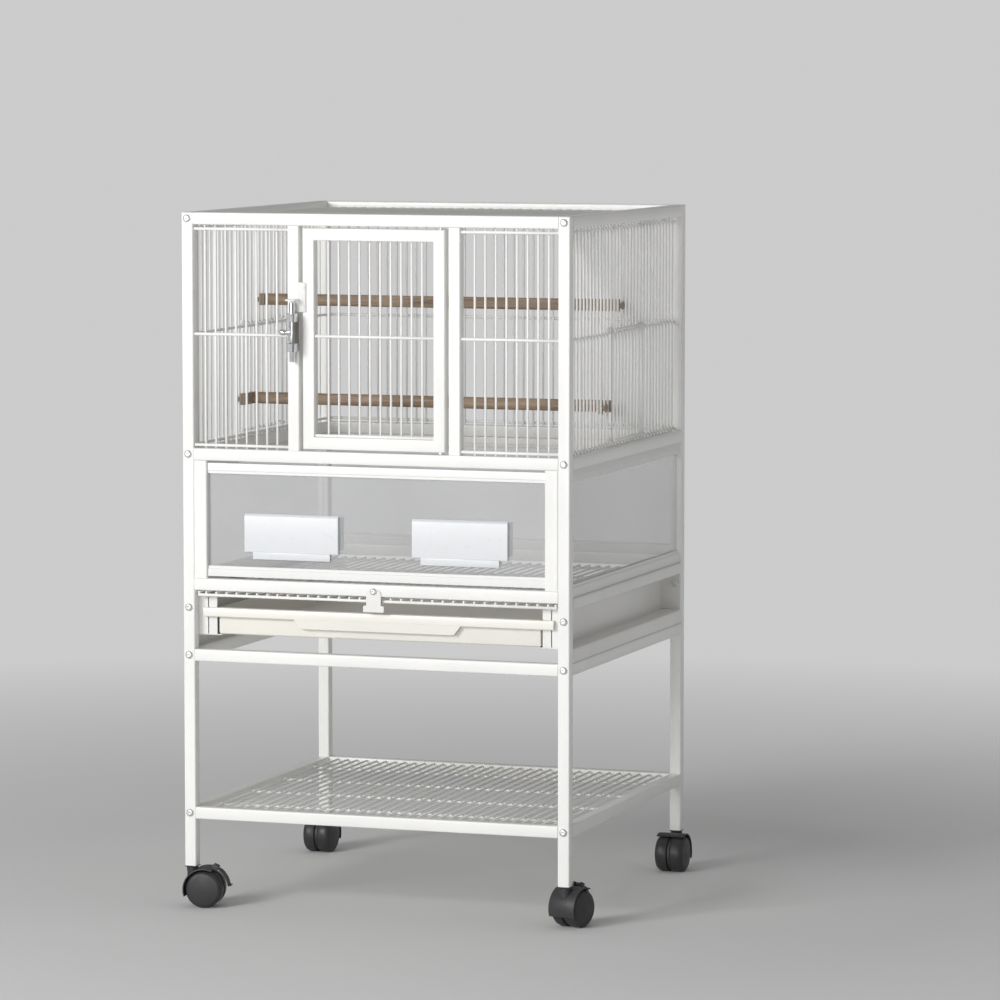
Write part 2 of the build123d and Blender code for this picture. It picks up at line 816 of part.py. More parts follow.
def perch_clip(sign, y, z):
    """Plate at a perch's end, with a foot that reaches out to one wire of the side panel."""
    held = clip_wire(y, z)
    low_z = z - perch_radius
    high_z = z + perch_radius
    low_y = min(y - perch_clip_width / 2, held - perch_clip_foot / 2)
    plate_back = sign * (side_cross_x - cross_wire / 2)
    wire_face = sign * (side_wire_x - wire / 2)
    clip = span((sign * perch_half, low_y, low_z), (plate_back, y + perch_clip_width / 2, high_z))
    foot_half = perch_clip_foot / 2
    return clip + span((plate_back, held - foot_half, low_z), (wire_face, held + foot_half, high_z))


for name, y, z in perches:
    save(name, bar_x(y, z, perch_radius, -perch_half, perch_half))
save("perch_clips", *[perch_clip(sign, y, z) for _, y, z in perches for sign in sides.values()])


# Bolts through the posts into the side rails, at every corner and level
def frame_bolt(x, front_sign, z):
    """Button-head bolt. Its head is outside the front or rear face of the post."""
    face = front_sign * half_depth
    end = front_sign * (inner_y - bolt_reach)
    outside = face + front_sign * bolt_head_height
    head = bolt_bar(x, z, bolt_head_radius, face, outside)
    rim = head.edges().group_by(Axis.Y)[-1 if front_sign > 0 else 0]
    head = chamfer(rim, bolt_head_height / 2)
    return head + bolt_bar(x, z, bolt_radius, face, end)


frame_bolts = [
    frame_bolt(sign * post_x, front_sign, z)
    for front_sign in (-1, 1)
    for sign in sides.values()
    for z in bolt_levels
]
save("frame_bolts", *frame_bolts)


# Sockets in the leg ends for the caster stems
def leg_socket(x, y):
    flange = Pos(x, y, leg_foot_z) * extrude(tube_outline(), foot_flange)
    inside = bore - 2 * plug_clearance
    plug = Pos(x, y, leg_foot_z + foot_flange) * extrude(Rectangle(inside, inside), stem_length)
    top = leg_foot_z + stem_length
    hole = bar_z(x, y, stem_radius + running_gap, leg_foot_z - cut_over, top + cut_over)
    return flange + plug - hole


save("leg_sockets", *[leg_socket(x, y) for x, y in corners.values()])


# Twin-wheel casters, made with the swivel axis at the origin and the wheels trailing along X
def at_angle(radius, angle):
    """A point of the caster's side view, round the wheel's axle."""
    return (radius * math.cos(math.radians(angle)), radius * math.sin(math.radians(angle)))


def ring_sector(inner, outer, start, end, width, middle_y=0.0):
    """Part of a ring round the wheel's axle, standing across the wheel."""
    middle = (start + end) / 2
    outline = ThreePointArc(at_angle(outer, start), at_angle(outer, middle), at_angle(outer, end))
    outline += Line(at_angle(outer, end), at_angle(inner, end))
    outline += ThreePointArc(at_angle(inner, end), at_angle(inner, middle), at_angle(inner, start))
    outline += Line(at_angle(inner, start), at_angle(outer, start))
    section = Plane.XZ * make_face(outline)
    return Pos(caster_trail, middle_y + width / 2, wheel_radius) * extrude(section, width)


def caster_web():
    """Flat web between the wheels: a hub with few sides and a fan that reaches the hood."""
    thickness = wheel_gap - 2 * web_side_gap
    first = hood_start + web_inset
    rim = [at_angle(hood_outer - web_rim, first + (hood_end - first) * step / 4) for step in range(5)]
    outline = Polygon((0, 0), *rim, align=None) + RegularPolygon(axle_radius + hub_wall, bolt_sides)
    return Pos(caster_trail, thickness / 2, wheel_radius) * extrude(Plane.XZ * outline, thickness)


def caster_wheels():
    """Two wheels on one axle that turns in the caster's web."""
    outer = wheel_gap / 2 + wheel_width
    wheels = bar_y(caster_trail, wheel_radius, axle_radius, -outer + wheel_rim, outer - wheel_rim)
    for sign in (-1, 1):
        near = sign * wheel_gap / 2
        far = sign * outer
        disc = bar_y(caster_trail, wheel_radius, wheel_radius, near, far)
        outer_rim = disc.edges().filter_by(GeomType.CIRCLE).sort_by(Axis.Y)[-1 if sign > 0 else 0]
        wheels += chamfer(outer_rim, wheel_bevel)
    return wheels


lever_pivot = hood_outer + lever_pivot_rise
lever_turn = math.radians(lever_pivot_angle)
pivot_x = caster_trail + lever_pivot * math.cos(lever_turn)
pivot_z = wheel_radius + lever_pivot * math.sin(lever_turn)
lever_inner = hood_outer + lever_rise


def caster_fork(braked):
    """Web between the wheels, hood over them and a stem that turns in the leg."""
    width = 2 * wheel_width + wheel_gap
    fork = ring_sector(hood_inner, hood_outer, hood_start, hood_end, width) + caster_web()
    boss_top = leg_foot_z - seat_gap
    boss_section = RegularPolygon(boss_radius, bolt_sides)
    boss = Pos(0, 0, wheel_radius) * extrude(boss_section, boss_top - wheel_radius)
    boss -= bar_y(caster_trail, wheel_radius, hood_inner, -width, width)
    fork += boss
    fork += bar_z(0, 0, stem_radius, boss_top, leg_foot_z + stem_length)
    if braked:
        half = knuckle_width / 2 + knuckle_gap
        lug_top = lever_pivot + knuckle_radius
        first = lever_pivot_angle - lug_before
        last = lever_pivot_angle + lug_after
        for sign in (-1, 1):
            middle_y = sign * (half + lug_thickness / 2)
            fork += ring_sector(hood_inner, lug_top, first, last, lug_thickness, middle_y)
        reach = half + lug_thickness / 2
        fork += bolt_bar(pivot_x, pivot_z, pivot_radius, -reach, reach)
    fork -= bar_y(caster_trail, wheel_radius, axle_radius + running_gap, -width, width)
    return fork


def brake_lever():
    """Foot pedal that curves down outside the wheels."""
    lever_outer = lever_inner + lever_thickness
    pedal = ring_sector(lever_inner, lever_outer, lever_end, lever_start, lever_width)
    knuckle = bar_y(pivot_x, pivot_z, knuckle_radius, -knuckle_width / 2, knuckle_width / 2)
    arm_start = lever_start - lever_overlap
    arm = ring_sector(lever_inner, lever_outer, arm_start, lever_pivot_angle, knuckle_width)
    lever = pedal + arm + knuckle
    hole = (pivot_radius + running_gap) / math.cos(math.pi / bolt_sides)
    return lever - bolt_bar(pivot_x, pivot_z, hole, -knuckle_width, knuckle_width)


for name, place in (("fl", "front_left"), ("fr", "front_right"), ("rl", "rear_left"), ("rr", "rear_right")):
    x, y = corners[place]
    set_down = Pos(x, y, 0) * Rot(0, 0, caster_yaw[name])
    braked = name in ("fl", "fr")
    save(f"caster_{name}_fork", set_down * caster_fork(braked))
    save(f"caster_{name}_wheels", set_down * caster_wheels())
    if braked:
        save(f"caster_{name}_brake", set_down * brake_lever())
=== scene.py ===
from math import atan2, ceil, copysign, cos, floor as whole, fmod, pi, radians, sin

import bmesh
import bpy
from mathutils import Matrix, Vector


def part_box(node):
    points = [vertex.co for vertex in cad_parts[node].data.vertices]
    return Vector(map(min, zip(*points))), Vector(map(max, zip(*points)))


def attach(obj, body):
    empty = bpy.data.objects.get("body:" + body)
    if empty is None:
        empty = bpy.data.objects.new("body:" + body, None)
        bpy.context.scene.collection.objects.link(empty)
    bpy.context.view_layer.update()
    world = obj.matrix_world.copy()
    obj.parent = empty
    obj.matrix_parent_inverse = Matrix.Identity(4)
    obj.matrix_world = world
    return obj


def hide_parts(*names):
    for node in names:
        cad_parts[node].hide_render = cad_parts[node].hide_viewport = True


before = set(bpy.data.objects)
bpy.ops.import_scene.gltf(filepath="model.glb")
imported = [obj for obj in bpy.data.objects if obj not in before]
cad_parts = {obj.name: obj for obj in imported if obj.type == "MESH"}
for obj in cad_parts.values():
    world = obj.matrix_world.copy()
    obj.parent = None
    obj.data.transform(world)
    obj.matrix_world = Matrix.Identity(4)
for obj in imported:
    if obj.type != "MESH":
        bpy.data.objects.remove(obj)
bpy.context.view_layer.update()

# Sizes in metres, as on the frame
tube = 0.016
tube_wall = 0.0012
tube_corner = 0.0018
wire = 0.003
cross_wire = 0.004
wire_pitch = 0.0145
panel_cross_inset = 0.0056
mid_cross_rise = 0.1515
shelf_cross_pitch = 0.117
runner_bolt_z = 0.4026
steel_sheet = 0.0012
wheel_radius = 0.025
wheel_width = 0.0175
wheel_gap = 0.005
caster_trail = 0.018
caster_yaw = {"fl": 10.0, "fr": 74.0, "rl": -90.0, "rr": -90.0}

# Places read from the frame
post_low, post_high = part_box("cage_post_front_left")
post_x = -(post_low.x + post_high.x) / 2
post_y = -(post_low.y + post_high.y) / 2
half_width = post_x + tube / 2
half_depth = post_y + tube / 2
inner_x = half_width - tube
inner_y = half_depth - tube
top_rail_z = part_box("top_rail_front")[0].z
mid_rail_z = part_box("mid_rail_front")[0].z
lower_rail_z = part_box("lower_rail_front")[0].z
stand_rail_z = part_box("stand_rails")[0].z
shelf_rail_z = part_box("shelf_rails")[0].z
mid_rail_top = mid_rail_z + tube
cross_low = mid_rail_top + panel_cross_inset - 0.001
cross_mid = mid_rail_top + mid_cross_rise
cross_high = top_rail_z - panel_cross_inset


# Mesh helpers
def loft(bm, rings, caps=True, loop=False):
    """Skin over rings that all have as many points."""
    rows = [[bm.verts.new(point) for point in ring] for ring in rings]
    count = len(rows[0])
    following = rows[1:] + ([rows[0]] if loop else [])
    for row, after in zip(rows, following):
        for i in range(count):
            j = (i + 1) % count
            bm.faces.new((row[i], row[j], after[j], after[i]))
    if caps and not loop:
        bm.faces.new(rows[0])
        bm.faces.new(rows[-1])


def along(axis, u, v, t):
    """A point of a section (u, v) at the place t along an axis."""
    if axis == "x":
        return (t, u, v)
    if axis == "y":
        return (u, t, v)
    return (u, v, t)


def rounded_outline(u0, v0, u1, v1, radius, steps=3):
    """Outline of a rectangle with round corners, as (u, v) points."""
    corners = ((u1, v1, 0), (u0, v1, 90), (u0, v0, 180), (u1, v0, 270))
    points = []
    for u, v, start in corners:
        centre_u = u - copysign(radius, u - (u0 + u1) / 2)
        centre_v = v - copysign(radius, v - (v0 + v1) / 2)
        for step in range(steps + 1):
            angle = radians(start + 90 * step / steps)
            points.append((centre_u + radius * cos(angle), centre_v + radius * sin(angle)))
    return points


def section_of(axis, low, high):
    """The section and the two ends of a box that runs along an axis."""
    order = {"x": (1, 2, 0), "y": (0, 2, 1), "z": (0, 1, 2)}[axis]
    u, v, t = order
    return (low[u], low[v], high[u], high[v]), low[t], high[t]


def add_tube(bm, axis, low, high, corner=tube_corner, wall=tube_wall):
    """A hollow tube that fills a box along an axis."""
    (u0, v0, u1, v1), start, end = section_of(axis, low, high)
    outer = rounded_outline(u0, v0, u1, v1, corner)
    inner = rounded_outline(u0 + wall, v0 + wall, u1 - wall, v1 - wall, corner / 3)
    rings = []
    for outline, place in ((outer, start), (outer, end), (inner, end), (inner, start)):
        rings.append([along(axis, u, v, place) for u, v in outline])
    loft(bm, rings, loop=True)


def add_block(bm, low, high):
    """The corners of a new block that fills a box."""
    size = Vector(high) - Vector(low)
    middle = (Vector(high) + Vector(low)) / 2
    place = Matrix.Translation(middle) @ Matrix.Diagonal((*size, 1))
    return bmesh.ops.create_cube(bm, size=1.0, matrix=place)["verts"]


def edges_of(verts):
    """The edges at some corners, each once and always in the same order."""
    return list(dict.fromkeys(edge for vert in verts for edge in vert.link_edges))


def soften(bm, edges, radius, steps):
    """Rounds edges to a radius."""
    bmesh.ops.bevel(
        bm, geom=edges, offset=radius, segments=steps, profile=0.5, affect="EDGES", clamp_overlap=True
    )


def add_box(bm, low, high, edge, steps=2):
    """A block with every edge rounded."""
    soften(bm, edges_of(add_block(bm, low, high)), edge, steps)


def across(direction):
    """Two directions at right angles to a third."""
    helper = Vector((0, 0, 1)) if abs(direction.z) < 0.9 else Vector((1, 0, 0))
    side = direction.cross(helper).normalized()
    return side, direction.cross(side)


def circle(centre, side, other, radius, sides):
    """Points of a circle in the plane of two directions."""
    points = []
    for k in range(sides):
        angle = 2 * pi * k / sides
        points.append(centre + (side * cos(angle) + other * sin(angle)) * radius)
    return points


def sweep(bm, points, radius, sides=10, closed=False):
    """Round wire along a path of points."""
    path = [Vector(p) for p in points]
    count = len(path)
    tangents = []
    for i in range(count):
        before = path[i - 1] if closed or i > 0 else path[i]
        after = path[(i + 1) % count] if closed or i < count - 1 else path[i]
        tangents.append((after - before).normalized())
    side = across(tangents[0])[0]
    rings = []
    for point, tangent in zip(path, tangents):
        side = (side - tangent * side.dot(tangent)).normalized()
        rings.append(circle(point, side, tangent.cross(side), radius, sides))
    loft(bm, rings, caps=not closed, loop=closed)


def add_wire(bm, start, end, diameter, sides=10):
    """A straight wire with slightly rounded ends."""
    start = Vector(start)
    end = Vector(end)
    direction = (end - start).normalized()
    radius = diameter / 2
    side, other = across(direction)
    rounding = direction * radius * 0.4
    end_radius = radius * 0.6
    places = ((start, end_radius), (start + rounding, radius), (end - rounding, radius), (end, end_radius))
    loft(bm, [circle(place, side, other, size, sides) for place, size in places])


def revolve(bm, profile, centre, direction, sides=32, shape=None):
    """Turned form from (radius, height) pairs along a direction. shape may change a radius by its angle."""
    direction = Vector(direction).normalized()
    side, other = across(direction)
    rings = []
    for index, (radius, height) in enumerate(profile):
        ring = []
        for k in range(sides):
            angle = 2 * pi * k / sides
            r = shape(index, angle, radius) if shape else radius
            outward = side * cos(angle) + other * sin(angle)
            ring.append(Vector(centre) + direction * height + outward * r)
        rings.append(ring)
    loft(bm, rings)


def add_nugget(bm, centre, radius):
    """A small weld nugget where two wires cross."""
    bmesh.ops.create_icosphere(bm, subdivisions=1, radius=radius, matrix=Matrix.Translation(centre))


def mm(*pairs):
    """Points of an outline or a profile, written in millimetres."""
    return [(first / 1000, second / 1000) for first, second in pairs]


def piece(name, bm, body, slot, *nodes, material=None, sharp=35.0):
    """Turns a mesh into a named piece that rides on a body and stands for CAD nodes."""
    bmesh.ops.recalc_face_normals(bm, faces=bm.faces)
    limit = radians(sharp)
    for edge in bm.edges:
        edge.smooth = len(edge.link_faces) == 2 and edge.calc_face_angle(0) < limit
    for face in bm.faces:
        face.smooth = True
    mesh = bpy.data.meshes.new(name)
    bm.to_mesh(mesh)
    bm.free()
    mesh.materials.append(material or finishes[slot])
    obj = bpy.data.objects.new(name, mesh)
    bpy.context.scene.collection.objects.link(obj)
    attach(obj, body)
    if nodes:
        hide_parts(*nodes)


# Materials
class Shader:
    """A node material that starts from one Principled BSDF."""

    def __init__(self, name, colour, roughness, **sockets):
        self.material = bpy.data.materials.new(name)
        self.material.use_nodes = True
        self.nodes = self.material.node_tree.nodes
        self.links = self.material.node_tree.links
        self.bsdf = self.nodes["Principled BSDF"]
        self.bsdf.inputs["Base Color"].default_value = (*colour, 1.0)
        self.bsdf.inputs["Roughness"].default_value = roughness
        for socket, value in sockets.items():
            self.bsdf.inputs[socket.replace("_", " ")].default_value = value
        self.place = self.nodes.new("ShaderNodeTexCoord").outputs["Object"]

    def node(self, kind, **inputs):
        """A new node with the values of its sockets."""
        node = self.nodes.new("ShaderNode" + kind)
        for socket, value in inputs.items():
            node.inputs[socket.replace("_", " ")].default_value = value
        return node

    def stretched(self, scale):
        """Object coordinates stretched along the axes."""
        node = self.node("Mapping", Scale=scale)
        self.links.new(self.place, node.inputs["Vector"])
        return node.outputs["Vector"]

    def noise(self, scale, detail=3.0, rough=0.55, vector=None, distortion=0.0):
        node = self.node("TexNoise", Scale=scale, Detail=detail, Roughness=rough, Distortion=distortion)
        self.links.new(vector or self.place, node.inputs["Vector"])
        return node.outputs["Fac"]

    def spread(self, value, low, high, start=0.3, end=0.7):
        """Maps a value between start and end to low and high."""
        node = self.node("MapRange", From_Min=start, From_Max=end, To_Min=low, To_Max=high)
        self.links.new(value, node.inputs["Value"])
        return node.outputs["Result"]

    def ramp(self, value, *stops):
        """Colours at places along a value."""
        node = self.nodes.new("ShaderNodeValToRGB")
        ramp = node.color_ramp
        while len(ramp.elements) < len(stops):
            ramp.elements.new(0.5)
        for element, (place, colour) in zip(ramp.elements, stops):
            element.position = place
            element.color = (*colour, 1.0)
        self.links.new(value, node.inputs["Fac"])
        return node.outputs["Color"]

    def colour(self, value):
        self.links.new(value, self.bsdf.inputs["Base Color"])

    def rough(self, value):
        self.links.new(value, self.bsdf.inputs["Roughness"])

    def bump(self, *layers):
        """Height layers as (value, strength, distance in metres)."""
        normal = None
        for value, strength, distance in layers:
            node = self.node("Bump", Strength=strength, Distance=distance)
            self.links.new(value, node.inputs["Height"])
            if normal:
                self.links.new(normal, node.inputs["Normal"])
            normal = node.outputs["Normal"]
        self.links.new(normal, self.bsdf.inputs["Normal"])


def tinted(colour, share):
    return tuple(channel * share for channel in colour)


def enamel(name, colour, roughness=0.36, peel=0.12):
    """Powder coat: a fine orange peel over steel, with a faint unevenness of tone."""
    shader = Shader(name, colour, roughness, Coat_Weight=0.25, Coat_Roughness=0.18, IOR=1.5)
    tone = shader.noise(7.0, 4.0)
    dull = tinted(colour, 0.955)
    bright = tinted(colour, 1.02)
    shader.colour(shader.ramp(tone, (0.3, dull), (0.5, colour), (0.75, bright)))
    shader.rough(shader.spread(shader.noise(38.0, 4.0), roughness - 0.05, roughness + 0.09))
    shader.bump((shader.noise(1400.0, 2.0), peel, 0.00012), (shader.noise(320.0, 2.0), peel * 0.6, 0.0003))
    return shader.material


def plastic(name, colour, roughness, grain, tone=0.94):
    """Moulded plastic with a fine spark texture."""
    shader = Shader(name, colour, roughness, IOR=1.48)
    shader.colour(shader.ramp(shader.noise(22.0, 4.0), (0.3, tinted(colour, tone)), (0.7, colour)))
    shader.rough(shader.spread(shader.noise(90.0, 3.0), roughness - 0.04, roughness + 0.08))
    shader.bump((shader.noise(2200.0, 2.0), grain, 0.0001), (shader.noise(60.0, 2.0), grain * 0.4, 0.0005))
    return shader.material


def plated(name, colour, roughness, brush):
    """Plated steel with faint drawing lines along Z."""
    shader = Shader(name, colour, roughness, Metallic=1.0)
    lines = shader.noise(900.0, 3.0, vector=shader.stretched((1.0, 1.0, 0.06)))
    shader.rough(shader.spread(lines, roughness - 0.04, roughness + 0.10))
    shader.colour(shader.ramp(shader.noise(160.0, 4.0), (0.3, tinted(colour, 0.85)), (0.7, colour)))
    shader.bump((lines, brush, 0.00006))
    return shader.material


def turned_wood(name):
    """Brown hardwood dowel with its grain along X."""
    shader = Shader(name, (0.27, 0.18, 0.11), 0.55, Specular_IOR_Level=0.35)
    grain_place = shader.stretched((0.035, 1.0, 1.0))
    bands = shader.noise(420.0, 5.0, 0.6, grain_place, 0.4)
    wide = shader.noise(90.0, 3.0, 0.5, shader.stretched((0.10, 1.0, 1.0)), 0.8)
    fine_share = 0.55
    mixed = shader.node("Math")
    mixed.operation = "MULTIPLY_ADD"
    mixed.inputs[1].default_value = fine_share
    shader.links.new(bands, mixed.inputs[0])
    rest = shader.node("Math")
    rest.operation = "MULTIPLY"
    rest.inputs[1].default_value = 1 - fine_share
    shader.links.new(wide, rest.inputs[0])
    shader.links.new(rest.outputs[0], mixed.inputs[2])
    dark = (0.20, 0.135, 0.090)
    brown = (0.33, 0.24, 0.17)
    pale = (0.44, 0.335, 0.245)
    shader.colour(shader.ramp(mixed.outputs[0], (0.34, dark), (0.46, brown), (0.60, pale)))
    shader.rough(shader.spread(bands, 0.48, 0.68))
    shader.bump((bands, 0.35, 0.00025))
    return shader.material


def acrylic(name):
    """Clear sheet whose grey colour, drifting slowly in tone across the sheet, is a painted reflection of
    the studio; polished, with faint wiping marks.
    """
    # Painted reflection: this grey, seen through the low alpha, stands in for the studio reflected in the
    # sheet.
    painted_reflection_grey = (0.64, 0.645, 0.655)
    shader = Shader(name, painted_reflection_grey, 0.06, IOR=1.49, Alpha=0.27, Coat_Weight=0.4, Coat_Roughness=0.03)
    # Painted reflection: a slow drift between two greys copies the gradient of the reflected studio.
    painted_reflection_drift = shader.noise(5.0, 3.0)
    shader.colour(shader.ramp(painted_reflection_drift, (0.3, (0.60, 0.605, 0.615)), (0.7, (0.68, 0.685, 0.695))))
    shader.rough(shader.spread(shader.noise(30.0, 5.0, 0.7), 0.04, 0.12))
    shader.bump((shader.noise(9.0, 1.0), 0.05, 0.0004))
    return shader.material


zinc = plated("zinc", (0.80, 0.80, 0.80), 0.42, 0.08)
# Painted shade: dark plated steel that stands in for the shade and dark reflection on the latch case's
# right side face.
painted_shade_plate = plated("painted_shade_plate", (0.26, 0.25, 0.23), 0.34, 0.12)
dark_plastic = plastic("dark_plastic", (0.042, 0.042, 0.045), 0.48, 0.25, 0.8)
clear = acrylic("clear_acrylic")
finishes = {
    "frame_enamel": enamel("white_powder_coat", (0.90, 0.895, 0.875)),
    "wire_enamel": enamel("wire_powder_coat", (0.90, 0.897, 0.88), 0.40, 0.08),
    "panel_enamel": enamel("panel_enamel", (0.83, 0.822, 0.80), 0.34, 0.08),
    "tray_enamel": enamel("tray_enamel", (0.83, 0.81, 0.745), 0.38, 0.08),
    "channel": plastic("white_extrusion", (0.88, 0.877, 0.865), 0.38, 0.05, 0.97),
    "feeder": plastic("cup_plastic", (0.74, 0.755, 0.775), 0.30, 0.02, 0.99),
    "cap": plastic("cap_plastic", (0.82, 0.815, 0.80), 0.42, 0.08),
    "perch": turned_wood("perch_wood"),
    "perch_clip": plastic("clip_plastic", (0.36, 0.285, 0.22), 0.45, 0.08),
    "bolt": zinc,
    "latch": plated("chrome", (0.78, 0.79, 0.81), 0.12, 0.06),
    "caster_socket": dark_plastic,
    "caster_body": dark_plastic,
    "caster_wheel": plastic("wheel_plastic", (0.036, 0.036, 0.039), 0.42, 0.22, 0.75),
}

# Posts, legs and rails
def mesh():
    return bmesh.new()


def spanned(corner, opposite):
    """The lowest and the highest corner of the box between two opposite corners."""
    low = Vector([min(pair) for pair in zip(corner, opposite)])
    high = Vector([max(pair) for pair in zip(corner, opposite)])
    return low, high


def tubes(name, node, body, pieces_of_tube):
    bm = mesh()
    for axis, low, high in pieces_of_tube:
        add_tube(bm, axis, low, high)
    piece(name, bm, body, "frame_enamel", node)


def side_pair(node):
    """The two tubes along Y at the sides of a node."""
    low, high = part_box(node)
    left = ("y", low, (low.x + tube, high.y, high.z))
    right = ("y", (high.x - tube, low.y, low.z), high)
    return [left, right]


def ring(node):
    """Four tubes in a ring: front and rear between the posts, and the sides between the posts."""
    low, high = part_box(node)
    z0, z1 = low.z, high.z
    return [
        ("x", (-inner_x, -half_depth, z0), (inner_x, -inner_y, z1)),
        ("x", (-inner_x, inner_y, z0), (inner_x, half_depth, z1)),
        ("y", (-half_width, -inner_y, z0), (-inner_x, inner_y, z1)),
        ("y", (inner_x, -inner_y, z0), (half_width, inner_y, z1)),
    ]


for place in ("front_left", "front_right", "rear_left", "rear_right"):
    tubes(f"post_{place}", f"cage_post_{place}", "frame", [("z", *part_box(f"cage_post_{place}"))])
leg_low, leg_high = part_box("stand_legs")
legs = []
for sx in (-1, 1):
    for sy in (-1, 1):
        inner = (sx * inner_x, sy * inner_y, leg_low.z)
        outer = (sx * half_width, sy * half_depth, leg_high.z)
        legs.append(("z", *spanned(inner, outer)))
tubes("legs", "stand_legs", "frame", legs)
for node in ("top_rail_front", "mid_rail_front", "lower_rail_front"):
    tubes(f"{node}_tube", node, "frame", [("x", *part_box(node))])
rear_tubes = []
for z in (lower_rail_z, mid_rail_z, top_rail_z):
    rear_tubes.append(("x", (-inner_x, inner_y, z), (inner_x, half_depth, z + tube)))
tubes("rear_rail_tubes", "rear_rails", "frame", rear_tubes)
for node in ("top_rails_side", "mid_rails_side"):
    tubes(f"{node}_tubes", node, "frame", side_pair(node))
for node in ("stand_rails", "shelf_rails"):
    tubes(f"{node}_tubes", node, "frame", ring(node))

# Stiles beside the door and beside the lower flap
door_low, door_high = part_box("door_frame")
door_side_gap = 0.005
door_opening = 2 * (door_high.x + door_side_gap)
guard_stile_width = 0.018
stiles = []
for sign in (-1, 1):
    near = sign * door_opening / 2
    far = near + sign * tube
    stiles.append(("z", *spanned((near, -half_depth, mid_rail_top), (far, -inner_y, top_rail_z))))
    near = sign * (inner_x - guard_stile_width)
    far = sign * inner_x
    stiles.append(("z", *spanned((near, -half_depth, lower_rail_z + tube), (far, -inner_y, mid_rail_z))))
tubes("stiles", "front_stiles", "frame", stiles)

# Front door frame, one mitred ring with its welds ground flush
door_section = rounded_outline(0.0, door_low.y, tube, door_high.y, tube_corner)
rings = []
for x, z, right, up in (
    (door_low.x, door_low.z, 1, 1), (door_high.x, door_low.z, -1, 1), (door_high.x, door_high.z, -1, -1),
    (door_low.x, door_high.z, 1, -1)
):
    rings.append([(x + right * u, v, z + up * u) for u, v in door_section])
bm = mesh()
loft(bm, rings, loop=True)
piece("door_tubes", bm, "front_door", "frame_enamel", "door_frame")


# Wire panels
nugget_share = 0.62


def grid(low, high):
    """Places of the wires of the shared grid that lie clear inside a gap."""
    first = ceil((low + wire_pitch / 2) / wire_pitch - 0.5)
    last = whole((high - wire_pitch / 2) / wire_pitch - 0.5)
    return [(number + 0.5) * wire_pitch for number in range(first, last + 1)]


def add_wires(bm, uprights, crossings):
    """Wires with the thicker cross wires welded to them."""
    for start, end in uprights:
        add_wire(bm, start, end, wire)
    for start, end in crossings:
        add_wire(bm, start, end, cross_wire, 12)
        for low, high in uprights:
            spot = meeting(low, high, start, end)
            if spot:
                add_nugget(bm, spot, wire * nugget_share)


def wire_panel(name, node, body, uprights, crossings):
    """Round wires for a panel, each from (start, end), with a nugget at each crossing."""
    bm = mesh()
    add_wires(bm, uprights, crossings)
    piece(name, bm, body, "wire_enamel", node, sharp=50)


def meeting(low, high, start, end):
    """Where a wire touches a cross wire, or None if they pass clear of each other."""
    low, high, start, end = (Vector(p) for p in (low, high, start, end))
    first = (high - low).normalized()
    second = (end - start).normalized()
    across = first.cross(second)
    gap = start - low
    along_first = gap.cross(second).dot(across)
    along_second = gap.cross(first).dot(across)
    if not -1e-4 <= along_first <= (high - low).length + 1e-4:
        return None
    if not -1e-4 <= along_second <= (end - start).length + 1e-4:
        return None
    a = low + first * along_first
    b = start + second * along_second
    if (a - b).length > (wire + cross_wire) / 2 + 0.0004:
        return None
    return a.lerp(b, wire / (wire + cross_wire))


levels = (cross_low, cross_mid, cross_high)
front_cross_y = -post_y - (wire + cross_wire) / 2
rear_cross_y = post_y + (wire + cross_wire) / 2


def front_wires(x0, x1, z0, z1, cross_levels, spots):
    uprights = [((x, -post_y, z0), (x, -post_y, z1)) for x in spots]
    crossings = [((x0, front_cross_y, z), (x1, front_cross_y, z)) for z in cross_levels]
    return uprights, crossings


stile_far = door_opening / 2 + tube
wire_panel("front_left_wires", "panel_front_left", "frame",
           *front_wires(-inner_x, -stile_far, mid_rail_top, top_rail_z, levels, grid(-inner_x, -stile_far)))
wire_panel("front_right_wires", "panel_front_right", "frame",
           *front_wires(stile_far, inner_x, mid_rail_top, top_rail_z, levels, grid(stile_far, inner_x)))
rear_uprights = [((x, post_y, mid_rail_top), (x, post_y, top_rail_z)) for x in grid(-inner_x, inner_x)]
rear_crossings = [((-inner_x, rear_cross_y, z), (inner_x, rear_cross_y, z)) for z in levels]
wire_panel("rear_wires", "panel_rear", "frame", rear_uprights, rear_crossings)
door_in = door_high.x - tube
door_wire_low, door_wire_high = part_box("door_wires")
wire_panel("door_wires_round", "door_wires", "front_door",
           *front_wires(-door_in, door_in, door_wire_low.z, door_wire_high.z,
                        (door_wire_low.z + cross_wire / 2, cross_mid), grid(-door_in, door_in)))


def deck(name, node, body, wires_x, wire_z, cross_y, y0, y1, half_x):
    """Flat grille: wires along Y over cross wires along X."""
    cross_z = wire_z - (wire + cross_wire) / 2
    uprights = [((x, y0, wire_z), (x, y1, wire_z)) for x in wires_x]
    crossings = [((-half_x, y, cross_z), (half_x, y, cross_z)) for y in cross_y]
    wire_panel(name, node, body, uprights, crossings)


roof_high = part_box("panel_roof")[1]
four_rows = [row * shelf_cross_pitch for row in (-1.5, -0.5, 0.5, 1.5)]
deck("roof_wires", "panel_roof", "frame", grid(-inner_x, inner_x), roof_high.z - wire / 2, four_rows,
     -inner_y, inner_y, inner_x)
shelf_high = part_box("shelf_grille")[1]
deck("shelf_wires", "shelf_grille", "frame", grid(-inner_x, inner_x), shelf_high.z - wire / 2, four_rows,
     -inner_y, inner_y, inner_x)
floor_low, floor_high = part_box("floor_grille")
grille_rows = 5
row_gap = (floor_high.y - floor_low.y - cross_wire) / (grille_rows - 1)
floor_rows = [floor_low.y + cross_wire / 2 + row * row_gap for row in range(grille_rows)]
edge_x = floor_high.x - wire / 2
deck("floor_wires", "floor_grille", "grille_body", [-edge_x, *grid(floor_low.x, floor_high.x), edge_x],
     floor_high.z - wire / 2, floor_rows, floor_low.y, floor_high.y, floor_high.x)

